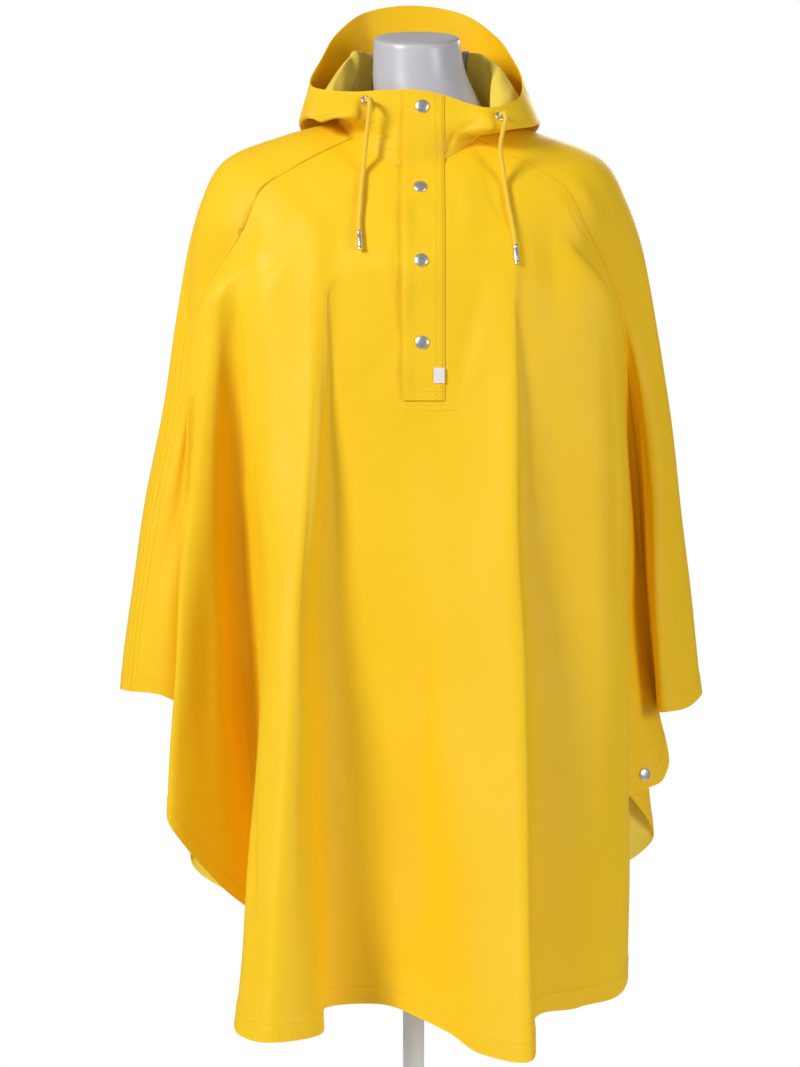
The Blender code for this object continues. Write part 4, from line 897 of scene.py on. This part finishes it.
def turned(name, profile, steps, finish, solid, foot=None, ring=False):
    """A piece turned about Z, or about the direction of its foot, which is (point, direction).

    The profile is (radius, height), up the piece's outer side.
    """
    profile = np.array(profile)
    angles = np.arange(steps) * 2 * math.pi / steps
    around = np.stack([np.cos(angles), np.sin(angles)], axis=-1)
    vertices = np.concatenate([np.column_stack([around * radius, np.full(steps, height)])
                               for radius, height in profile])
    faces = bands(len(profile), steps, closed=ring).tolist()
    if not ring:
        faces += ends(len(profile), steps)
    if foot is not None:
        point, direction = foot
        turn = np.array(Vector(direction).to_track_quat("Z", "Y").to_matrix())
        vertices = vertices @ turn.T + np.asarray(point)
    return add_piece(name, vertices, faces, [finish], [solid])


# ================================================================ stitches
def run_lengths(line):
    """How far along a line each of its points is."""
    return np.concatenate([[0.0], np.cumsum(np.linalg.norm(np.diff(line, axis=0), axis=1))])


def along_line(values, length, at):
    """Values at distances at along a line, from those at its points, which are at length."""
    return np.stack([np.interp(at, length, values[:, axis]) for axis in range(3)], axis=-1)


def stitches(line, normals):
    """Vertices and faces of a row of stitches along a line on a cloth."""
    beside = 0.001
    length = run_lengths(line)
    count = int(length[-1] / (STITCH + STITCH_GAP))
    start = (np.arange(count) + 0.5) * length[-1] / max(count, 1) - STITCH / 2
    rings = []
    for share, size in STITCH_PROFILE:
        at = start + share * STITCH
        centre = along_line(line, length, at)
        ahead = along_line(line, length, at + beside) - along_line(line, length, at - beside)
        up = unit(along_line(normals, length, at))
        half = unit(np.cross(up, ahead)) * STITCH_WIDTH / 2 * size
        top = up * STITCH_HEIGHT * size
        rings.append(np.stack([centre + half, centre + half * 0.5 + top, centre - half * 0.5 + top,
                               centre - half, centre - up * STITCH_HEIGHT * 0.5], axis=1))
    vertices = np.concatenate(rings, axis=1).reshape(-1, 3)
    each = len(STITCH_PROFILE) * STITCH_SIDES
    faces = bands(len(STITCH_PROFILE), STITCH_SIDES) + np.arange(count)[:, None, None] * each
    return vertices, faces.reshape(-1, 4)


def sew(name, lines):
    """One piece with the stitches of several lines; each line is (points, normals)."""
    vertices, faces, count = [], [], 0
    for line, normals in lines:
        points, quads = stitches(line, normals)
        vertices.append(points)
        faces.append(quads + count)
        count += len(points)
    faces = np.concatenate(faces).tolist()
    return add_piece(name, np.concatenate(vertices), faces, ["thread"])


# ================================================================ creases
def crease_height(flat, crease):
    """Height of one crease at places on a flat map; the crease is a curve towards its bend."""
    start, bend, end = np.array(crease[:6]).reshape(3, 2)
    width_one, width_two, depth = crease[6:]
    share = np.linspace(0.0, 1.0, CREASE_STEPS + 1)[:, None]
    line = (1 - share) ** 2 * start + 2 * share * (1 - share) * bend + share ** 2 * end
    offset = flat[:, None] - line[None]
    nearest = np.argmin((offset ** 2).sum(axis=-1), axis=1)
    step = np.gradient(line, axis=0)[nearest]
    spacing = np.linalg.norm(step, axis=1)
    tangent = step / spacing[:, None]
    closest = offset[np.arange(len(nearest)), nearest]
    across = closest[:, 0] * tangent[:, 1] - closest[:, 1] * tangent[:, 0]
    along = (nearest + (closest * tangent).sum(axis=1) / spacing) / CREASE_STEPS
    width = np.where(across > 0, width_one, width_two)
    return depth * np.exp(-(across / width) ** 2) * np.sin(np.pi * np.clip(along, 0.0, 1.0))


def crease_map(flat, allowed, crease):
    """Height of one crease on a grid of places, worked out only near it and where it is allowed."""
    height = np.zeros(allowed.shape)
    corners = np.array(crease[:6]).reshape(3, 2)
    reach = CREASE_REACH * max(crease[6:8])
    inside = (flat > corners.min(axis=0) - reach) & (flat < corners.max(axis=0) + reach)
    near = inside.all(axis=-1) & (allowed > 0)
    if near.any():
        height[near] = crease_height(flat[near], crease) * allowed[near]
    return height


def body_creases(points, normals):
    """How far each point of the body stands off its smooth surface because of the creases."""
    height = np.zeros(points.shape[:2])
    for towards, creases in VIEWS:
        facing = smoothstep(*VIEW_FADE, normals[..., :2] @ np.array(towards))
        across = points[..., 0] if towards[0] == 0 else points[..., 1]
        flat = np.stack([across, points[..., 2]], axis=-1)
        for _, *crease in creases:
            height += crease_map(flat, facing, crease)
    return height


def hood_creases(around, up):
    """The same on the hood, whose creases lie on a flat map of turn and share up."""
    metres = np.array([HOOD_ROUND / 360.0, HOOD_RISE])
    flat = np.stack([np.broadcast_to(around * HOOD_ROUND, up.shape), up * HOOD_RISE], axis=-1)
    everywhere = np.ones(up.shape)
    height = np.zeros(up.shape)
    for _, *crease in HOOD_CREASES:
        places = (np.array(crease[:6]).reshape(3, 2) * metres).ravel()
        height += crease_map(flat, everywhere, (*places, *crease[6:]))
    return height


def swell(around, down):
    """Broad, low unevenness, nothing on the shoulders and growing towards the hem."""
    waves = sum(height * np.sin(2 * math.pi * (round_waves * around + down_waves * down) + shift)
                for round_waves, down_waves, shift, height in SWELLS)
    return waves * smoothstep(*SWELL_DOWN, down)


# ================================================================ cloth of the body
def metres_round(around, down):
    """Length of the cloth for one whole turn at each place, to step sideways by metres."""
    step = 0.0005
    ahead = body_surface(around + step, down) - body_surface(around - step, down)
    return np.linalg.norm(ahead, axis=-1) / (2 * step)


def body_lift(around, down, points, normals):
    """Creases, swells and the hem's thickness; where the form is close, the cloth can't sink far."""
    sink = SHOULDER_SINK + (SKIRT_SINK - SHOULDER_SINK) * smoothstep(YOKE[2][1], CHEST_DOWN, down)
    lift = np.maximum(swell(around[None, :], down) + body_creases(points, normals), -sink)
    up_from_hem = down_at_hem(around)[None, :] - down
    ends_at = [HEM_WIDTH + aside for aside in HEM_FADE]
    return lift + HEM_LIFT * (1.0 - smoothstep(*ends_at, up_from_hem))


def body_cloth(around, down):
    """Points in the middle of the solid's wall, moved by the creases, and normals."""
    points = body_surface(around, down)
    normals = outward(body_surface, around, down)
    return points + normals * body_lift(around, down, points, normals)[..., None], normals


def faces_of(points, normals, drop=0.0):
    """Outer and inner face of a cloth, which may lie deeper than usual by drop."""
    outer = points + normals * (OUTER_FACE - drop)
    return outer, outer - normals * CLOTH_WALL


def fine_columns(start, end):
    """Shares round the figure from one seam to another, evenly spaced."""
    first = FOLD_AT[start]
    span = (FOLD_AT[end] - first) % 1.0
    return first + np.linspace(0.0, span, round(span * SPANS.sum() / CELL) + 1)


def fine_rows(around):
    """Distances down for every row of facets, (rows, columns), the last on the hem."""
    hem = down_at_hem(around)
    top = np.arange(0.0, CHEST_DOWN, CELL)
    count = round((hem.max() - CHEST_DOWN) / CELL)
    share = np.linspace(0.0, 1.0, count + 1)[:, None]
    below = CHEST_DOWN + share * (hem - CHEST_DOWN)[None, :]
    return np.vstack([np.repeat(top[:, None], len(around), axis=1), below])


def split_at_slit(around):
    """The front's columns with the middle one doubled, a slit apart, and its number."""
    front = np.round(around[len(around) // 2])
    half = SLIT_WIDTH / 2 / metres_round(np.array([front]), np.array([[CHEST_DOWN]]))[0, 0]
    edge = np.argmin(np.abs(around - front))
    return np.sort(np.append(np.delete(around, edge), [front - half, front + half])), edge


def make_cloth(name, start, end, slit, solid):
    """The stretch of the body between two seams. Its start runs on under its neighbour."""
    around = fine_columns(start, end)
    if slit:
        around, edge = split_at_slit(around)
    allowance = ALLOWANCE / metres_round(around[:1], np.array([[CHEST_DOWN]]))[0, 0]
    around = np.append(around[0] - allowance, around)
    points, normals = body_cloth(around, fine_rows(around))
    under, points = points[:, :1], points[:, 1:]
    keep = np.ones((points.shape[0] - 1, points.shape[1] + 1), dtype=bool)
    if slit:
        keep[points[1:, edge, 2] > SLIT_BOTTOM_Z, edge + 2] = False
    for column, side in ((0, 1), (-1, -1)):
        beside = unit(points[:, column + side] - points[:, column])
        points[:, column] += beside * SEAM_GROOVE / 2
    tuck = points[:, :1] - unit(points[:, 1:2] - points[:, :1]) * SEAM_GROOVE
    points = np.concatenate([under, tuck, points], axis=1)
    normals = np.concatenate([normals[:, :2], normals[:, 1:]], axis=1)
    drop = np.zeros((*points.shape[:2], 1))
    drop[:, :2] = ALLOWANCE_DROP
    outer, inner = faces_of(points, normals, drop)
    return shell(name, outer, inner, ["coated_cloth", "cloth_inside"], keep=keep, replaces=[solid])


def stitch_line(around, down):
    """Where stitches run on the body along one row of places: points on its face, and normals."""
    points, normals = body_cloth(around, down)
    return points[0] + normals[0] * OUTER_FACE, normals[0]


def seam_line(seam, aside):
    """Stitches beside a seam, aside metres round from it, neck to hem."""
    hem = down_at_hem(np.array([FOLD_AT[seam]]))[0]
    down = np.arange(SEAM_STITCH_STEP, hem - SEAM_STITCH_STEP / 2, SEAM_STITCH_STEP)[None, :]
    at_seam = np.full(down.shape[1], FOLD_AT[seam])
    return stitch_line(at_seam + aside / metres_round(at_seam, down)[0], down)


def neck_line(start, end):
    around = fine_columns(start, end)[1:-1]
    return stitch_line(around, np.full((1, len(around)), NECK_STITCH_DOWN))


def hem_line(start, end):
    around = fine_columns(start, end)[1:-1]
    return stitch_line(around, (down_at_hem(around) - HEM_WIDTH + HEM_STITCH_IN)[None, :])


def foot_line(z):
    """Stitches across the front below the placket flap, at about height z."""
    x_places = np.linspace(*FRONT_FOOT_X)
    points, normals = across_front(body_surface, body_cloth, down_at(z), x_places)
    return points + normals * OUTER_FACE, normals


def make_body():
    """Every cloth of the body with its stitches, as rows of cloth, flat size, area and stitches."""
    sheets = []
    for name, start, end, width, length, area, solid in BODY_CLOTHS:
        slit = solid == "front_panel"
        lines = [hem_line(start, end), neck_line(start, end), seam_line(start, SEAM_STITCH_ASIDE)]
        if "wing" in end:
            lines.append(seam_line(end, -SEAM_STITCH_ASIDE))
        if slit:
            lines += [foot_line(z) for z in FRONT_FOOT_STITCHES]
        thread = sew(name + "_stitches", lines)
        cloth = make_cloth(name, start, end, slit, solid)
        sheets.append((cloth, (width, length), area, [thread]))
    return sheets


# ================================================================ hood
def hood_cloth(around, up):
    """Points in the middle of the hood's cloth, moved by its creases, and normals on its outside."""
    points = hood_surface(around, up)
    normals = -outward(hood_surface, around, up)
    return points + normals * hood_creases(around, up)[..., None], normals


def hood_line(start, end, up, side):
    """Stitches along the hood at share up, on its outside (side 1) or its inside (side -1)."""
    around = np.linspace(start, end, HOOD_LINE_PLACES)[1:-1]
    points, normals = hood_cloth(around, np.full((1, len(around)), up))
    face = OUTER_FACE if side > 0 else OUTER_FACE - CLOTH_WALL
    return points[0] + normals[0] * face, normals[0] * side


def make_hood():
    """Both halves of the hood and its grey lining, as rows like those of the body."""
    slit = HOOD_SLIT_TURN / 360.0
    columns = round(HOOD_HALF_ROUND / HOOD_CELL) + 1
    up = np.linspace(0.0, 1.0, round(HOOD_HALF_UP / HOOD_CELL) + 1)
    up = np.repeat(up[:, None], columns, axis=1)
    facing = np.where(up[1:, 1:] > HOOD_FACING_UP, 0, 1)
    sheets = []
    for name, start, end, solid in (("hood_cloth_left", slit, 0.5, "hood_left"),
                                    ("hood_cloth_right", 0.5, 1.0 - slit, "hood_right")):
        outer, inner = faces_of(*hood_cloth(np.linspace(start, end, columns), up))
        thread = sew(name + "_stitches", [hood_line(start, end, *row) for row in HOOD_STITCHES])
        cloth = shell(name, outer, inner, ["coated_cloth", "cloth_inside"], inner_finish=facing,
                      replaces=[solid])
        sheets.append((cloth, *HOOD_HALF_FLAT, [thread]))
    columns, rows = LINING_PLACES
    around = 0.5 + np.linspace(*LINING_COLUMNS, columns) / HOOD_COLUMNS * (0.5 - slit)
    rows = np.linspace(*LINING_ROWS, rows) / HOOD_ROWS
    points, normals = hood_cloth(around, np.repeat(rows[:, None], len(around), axis=1))
    outer = points - normals * (WALL / 2 + TOUCH)
    lining = shell("lining_cloth", outer, outer - normals * LINING_WALL,
                   ["grey_lining", "grey_lining"], replaces=["neck_lining"])
    return sheets + [(lining, *LINING_FLAT, [])]


# ================================================================ placket
def across_front(surface, cloth, row, x_places):
    """Points and normals of one row of a cloth at the given x, near the front centre."""
    around = np.linspace(-FRONT_REACH, FRONT_REACH, FRONT_PLACES)
    line = surface(around, np.full((1, len(around)), row))[0]
    found = np.interp(x_places, line[::-1, 0], around[::-1])
    points, normals = cloth(np.mod(found, 1.0), np.full((1, len(x_places)), row))
    return points[0], normals[0]


def placket_grid(x_places):
    """Points and normals down the front at the given x, from the hood's rim to the placket's end."""
    first, step = PLACKET_YOKE
    on_yoke = np.arange(first, CHEST_DOWN, step)
    on_front = down_at(np.linspace(CHEST_Z, PLACKET_BOTTOM_Z, PLACKET_FRONT_ROWS))
    rows = [across_front(hood_surface, hood_cloth, up, x_places)[0]
            for up in np.linspace(*PLACKET_HOOD)]
    rows += [across_front(body_surface, body_cloth, down, x_places)[0]
             for down in (*on_yoke, *on_front)]
    points = np.array(rows)
    normals = unit(np.cross(np.gradient(points, axis=0), np.gradient(points, axis=1)))
    return points, normals


def placket_places(x_places, heights):
    """Points and normals in the middle of the front's cloth, (heights, x_places), on the placket."""
    grids = placket_grid(x_places)
    places = []
    for grid in grids:
        columns = [[np.interp(heights, grids[0][::-1, column, 2], grid[::-1, column, axis])
                    for axis in range(3)] for column in range(len(x_places))]
        places.append(np.moveaxis(np.array(columns), (0, 1), (1, 2)))
    return places[0], unit(places[1])


def flap_face(x):
    """Height of the flap's outer face at x; it goes thin at the sewn edge."""
    near_edge = smoothstep(PLACKET_RIGHT - FLAP_THIN_WIDTH, PLACKET_RIGHT, x)
    return FLAP_FACE - FLAP_THINNING * near_edge


def flap_lines(x_places):
    """Stitches down the flap beside its sewn edge, and across its foot."""
    lines = []
    beside = 0.002
    for inset in FLAP_SIDE_STITCHES:
        x = PLACKET_RIGHT - inset
        points, normals = placket_grid(np.array([x - beside, x, x + beside]))
        lines.append(((points + normals * flap_face(x))[:, 1], normals[:, 1]))
    rows, ups = placket_places(x_places, np.array(FLAP_FOOT_STITCHES))
    return lines + [(row + up * flap_face(x_places)[:, None], up) for row, up in zip(rows, ups)]


def make_placket():
    """The flap with its snaps and its label, as rows like those of the body."""
    x_places = np.linspace(PLACKET_LEFT, PLACKET_RIGHT, PLACKET_COLUMNS)
    points, normals = placket_grid(x_places)
    heights, lifts = np.array(FLAP_EDGE_LIFTS).T
    near_edge = 1.0 - smoothstep(0.0, FLAP_EDGE, x_places - PLACKET_LEFT)
    lifted = points + normals * (np.interp(points[..., 2], heights, lifts) * near_edge)[..., None]
    outer = lifted + normals * flap_face(x_places)[:, None]
    inner = lifted + normals * (FLAP_MIDDLE - FLAP_WALL / 2)
    flap = shell("placket_cloth", outer, inner, ["coated_cloth", "cloth_inside"],
                 replaces=["placket_flap"])
    thread = sew("placket_stitches", flap_lines(x_places))
    beside = 0.005
    for number, (x, z) in enumerate(PLACKET_SNAPS, start=1):
        points, normals = placket_places(np.array([x - beside, x, x + beside]), np.array([z]))
        face = points[0, 1] + normals[0, 1] * FLAP_FACE
        make_snap(f"snap_cap_{number}", face, normals[0, 1], f"placket_snap_{number}")
    columns, rows = LABEL_PLACES
    points, normals = placket_places(np.linspace(*LABEL_X, columns), np.linspace(*LABEL_Z, rows))
    outer = points + normals * (FLAP_FACE + LABEL_LIFT)
    label = shell("label_tape", outer, outer - normals * LABEL_WALL, ["label_tape", "label_tape"],
                  replaces=["label"])
    return [(flap, *FLAP_FLAT, [thread]), (label, *LABEL_FLAT, [])]


# ================================================================ metal fittings
def make_snap(name, face, normal, solid):
    """Domed cap of a snap button with a rolled rim."""
    profile = np.array(SNAP_PROFILE) * (SNAP_DIAMETER / 2, SNAP_HEIGHT)
    turned(name, profile, SNAP_SIDES, "snap_metal", solid, foot=(face, normal))


def make_side_snaps():
    for side, (fold, z) in SIDE_SNAPS.items():
        around = np.array([FOLD_AT[fold]])
        points, normals = body_cloth(around, np.array([[down_at(z)]]))
        face = points[0, 0] + normals[0, 0] * (OUTER_FACE + TOUCH)
        make_snap(f"side_cap_{side}", face, normals[0, 0], f"side_snap_{side}")


def make_eyelet(side, foot):
    hole = EYELET_HOLE / 2
    profile = [(hole, 0.0)]
    profile += [(share * EYELET_OUTER / 2, up * EYELET_HEIGHT) for share, up in EYELET_OUTSIDE]
    profile += [(hole + beyond, up * EYELET_HEIGHT) for beyond, up in EYELET_BORE]
    turned(f"ring_{side}", profile, SNAP_SIDES, "snap_metal", f"eyelet_{side}", foot,
           ring=True)


def make_cord_tip(side, foot):
    """Metal tube on the free end of a cord."""
    radius = CORD_TIP_DIAMETER / 2
    profile = [(share * radius, along) for share, along in CORD_TIP_TOP]
    profile += [(share * radius, CORD_TIP_LENGTH - along) for share, along in CORD_TIP_FOOT]
    return turned(f"cord_end_{side}", profile, CORD_TIP_SIDES, "snap_metal",
                  f"cord_tip_{side}", foot)


# ================================================================ drawcords
def smooth_route(places, spacing):
    """Points along a smooth line through some places, about evenly spaced."""
    places = np.array(places)
    knots = run_lengths(places)
    rings = places[:, None]
    at = np.linspace(0.0, knots[-1], round(knots[-1] / spacing) + 1)[:, None]
    return along_section(knots, rings, section_pulls(knots, rings), at)[:, 0]


def cord_places(side):
    """Where a cord's eyelet sits, its normal, and the cord's middle line."""
    turn, up = EYELETS[side]
    normal = -outward(hood_surface, np.array([turn / 360.0]), np.array([[up]]))[0, 0]
    place = np.array(EYELET_PLACES[side])
    start = place + normal * CORD_LEAD
    stations = np.array(DRAWCORDS[side])
    aim = unit(stations[0] - start)
    towards = unit(aim - (aim @ normal) * normal)
    angles = np.linspace(0.0, np.arccos(aim @ normal), CORD_BEND_PLACES)[:, None]
    bend = start + CORD_BEND * (np.sin(angles) * normal + (1.0 - np.cos(angles)) * towards)
    hanging = smooth_route(np.vstack([bend[-1:], stations]), CORD_ROUTE_STEP)
    return place, normal, np.vstack([place, bend, hanging[1:]])


def braid(route, length):
    """Rings of points, (rings, sides, 3), of a braided cord along its middle line."""
    at = np.linspace(0.0, length[-1], round(length[-1] / CORD_CELL) + 1)
    line = along_line(route, length, at)
    ahead = unit(np.gradient(line, axis=0))
    never_along = np.array([0.0, 1.0, 0.2])
    side_way = unit(np.cross(ahead, never_along))
    front_way = np.cross(side_way, ahead)
    angle = np.arange(CORD_SIDES) * 2 * math.pi / CORD_SIDES
    twist = 2 * math.pi * at[:, None] / BRAID_PITCH
    one = np.cos(BRAID_STRANDS / 2 * (angle[None] + twist))
    two = np.cos(BRAID_STRANDS / 2 * (angle[None] - twist))
    radius = CORD_DIAMETER / 2 - BRAID_DEPTH * (1.0 - np.maximum(one, two))
    return line[:, None] + radius[..., None] * (np.cos(angle)[None, :, None] * side_way[:, None]
                                                + np.sin(angle)[None, :, None] * front_way[:, None])


def make_drawcord(side):
    """The cord's free end, from its eyelet to its metal tip, and the eyelet."""
    place, normal, route = cord_places(side)
    length = run_lengths(route)
    rings = braid(route, length)
    faces = bands(len(rings), CORD_SIDES).tolist() + ends(len(rings), CORD_SIDES)
    cord = add_piece(f"cord_{side}", rings.reshape(-1, 3), faces, ["drawcord"],
                     [f"drawcord_{side}"])
    onward = unit(route[-1] - route[-2])
    tip = make_cord_tip(side, (route[-1] + onward * TOUCH, onward))
    make_eyelet(side, (place, normal))


# ================================================================ dress form and stand
def smooth_rings(rings, steps):
    """More rings between the given ones, on smooth lines through them."""
    gaps = np.linalg.norm(np.diff(rings, axis=0), axis=-1).mean(axis=1)
    knots = np.concatenate([[0.0], np.cumsum(gaps)])
    at = np.concatenate([np.linspace(a, b, steps, endpoint=False) for a, b in zip(knots, knots[1:])]
                        + [[knots[-1]]])
    at = np.repeat(at[:, None], rings.shape[1], axis=1)
    return along_section(knots, rings, section_pulls(knots, rings), at)


def form_rings():
    """Rings of the dress form from the middle of its flat top down, and how many are on the top."""
    turn = np.arange(0.0, 360.0, FORM_COLUMN_TURN)
    shares = np.linspace(0.0, 1.0, FORM_TURN_PLACES + 1)[:-1]
    around = np.interp(turn, np.append(turn_at(shares), 360.0), np.append(shares, 1.0))
    down = np.repeat(np.linspace(0.0, YOKE[2][1], FORM_SHOULDER_RINGS)[:, None], len(around), axis=1)
    inset = WALL / 2 + FORM_CLEARANCE
    shoulders = body_surface(around, down) - outward(body_surface, around, down) * inset
    torso = np.array([ring_on_shoulders(turn, *row[1:]) for row in FORM_TORSO])
    angle = np.radians(turn)
    neck = []
    for _, centre_x, centre_y, radius_x, radius_y, height, lean in FORM_NECK:
        y = -np.cos(angle)
        neck.append(np.stack([centre_x - radius_x * np.sin(angle), centre_y + radius_y * y,
                              height + lean / 2 * y], axis=-1))
    neck = smooth_rings(np.concatenate([neck, shoulders[:1]]), FORM_NECK_STEPS)[:-1]
    rim = neck[:1]
    centre = rim.mean(axis=1, keepdims=True)
    lid = [centre + (rim - centre) * share + np.array([0.0, 0.0, lift]) for share, lift in FORM_LID]
    below = smooth_rings(np.concatenate([shoulders[-2:], torso]), FORM_TORSO_STEPS)[FORM_TORSO_STEPS:]
    return np.concatenate([*lid, neck, shoulders[:-1], below]), len(lid)


def make_form():
    rings, on_lid = form_rings()
    count, sides = rings.shape[:2]
    faces = bands(count, sides)[:, [0, 3, 2, 1]].tolist() + ends(count, sides)
    # the lid's rings and the top's closing face get the darker grey, painted shade on the neck's top
    finish = np.zeros(len(faces), dtype=int)
    finish[:on_lid * sides] = 1
    finish[-2] = 1
    add_piece("form", rings.reshape(-1, 3), faces, ["form_lacquer", "form_top_painted_shade"],
              ["form_torso"], finish)


def make_stand():
    edge = STAND_EDGE
    slight = 0.3 * edge
    rim = ((BASE_RADIUS - edge, 0.0), (BASE_RADIUS - slight, slight), (BASE_RADIUS, edge),
           (BASE_RADIUS, BASE_THICKNESS - edge), (BASE_RADIUS - slight, BASE_THICKNESS - slight),
           (BASE_RADIUS - edge, BASE_THICKNESS), (HUB_RADIUS + 2 * edge, BASE_THICKNESS + slight),
           (HUB_RADIUS + edge / 2, BASE_THICKNESS + edge), (HUB_RADIUS, BASE_THICKNESS + 3 * edge),
           (HUB_RADIUS, HUB_TOP_Z - edge / 2), (HUB_RADIUS - edge / 2, HUB_TOP_Z),
           (POLE_RADIUS + HUB_GAP, HUB_TOP_Z))
    turned("base_plate", rim, BASE_SIDES, "stand_paint", "stand_base")
    low, high = HUB_TOP_Z + TOUCH, FORM_BOTTOM_Z - TOUCH
    side = ((POLE_RADIUS - POLE_EDGE, low), (POLE_RADIUS, low + POLE_EDGE),
            (POLE_RADIUS, high - POLE_EDGE), (POLE_RADIUS - POLE_EDGE, high))
    turned("pole_tube", side, POLE_SIDES, "stand_paint", "stand_pole")


# ================================================================ floor and light
def make_floor():
    angle = np.arange(FLOOR_SIDES) * 2 * math.pi / FLOOR_SIDES
    ring = FLOOR_RADIUS * np.stack([np.cos(angle), np.sin(angle), np.zeros(FLOOR_SIDES)], axis=-1)
    mesh = bpy.data.meshes.new("floor")
    mesh.from_pydata(ring.tolist(), [], [list(range(FLOOR_SIDES))])
    mesh.materials.append(MATERIALS["floor"])
    floor = bpy.data.objects.new("floor", mesh)
    floor.location.z = FLOOR_Z
    bpy.context.scene.collection.objects.link(floor)


def make_lights():
    """White surroundings, and the lamps."""
    world = bpy.data.worlds.new("studio")
    world.use_nodes = True
    tree = world.node_tree
    background = tree.nodes["Background"]
    seen = tree.nodes.new("ShaderNodeLightPath").outputs["Is Camera Ray"]
    strength = tree.nodes.new("ShaderNodeMapRange")
    strength.inputs["To Min"].default_value = WORLD_LIGHT
    strength.inputs["To Max"].default_value = WORLD_SEEN
    tree.links.new(seen, strength.inputs["Value"])
    tree.links.new(strength.outputs["Result"], background.inputs["Strength"])
    background.inputs["Color"].default_value = (1.0, 1.0, 1.0, 1.0)
    bpy.context.scene.world = world
    for name, place, target, size, power in LIGHTS:
        light = bpy.data.lights.new(name, "AREA")
        light.shape = "DISK"
        light.size = size
        light.energy = power
        lamp = bpy.data.objects.new(name, light)
        aim_at(lamp, place, target)
        bpy.context.scene.collection.objects.link(lamp)


# ================================================================ main
def main():
    make_camera()
    make_materials()
    for side in DRAWCORDS:
        make_drawcord(side)
    sheets = make_body() + make_hood() + make_placket()
    make_side_snaps()
    make_form()
    make_stand()
    make_floor()
    make_lights()


main()
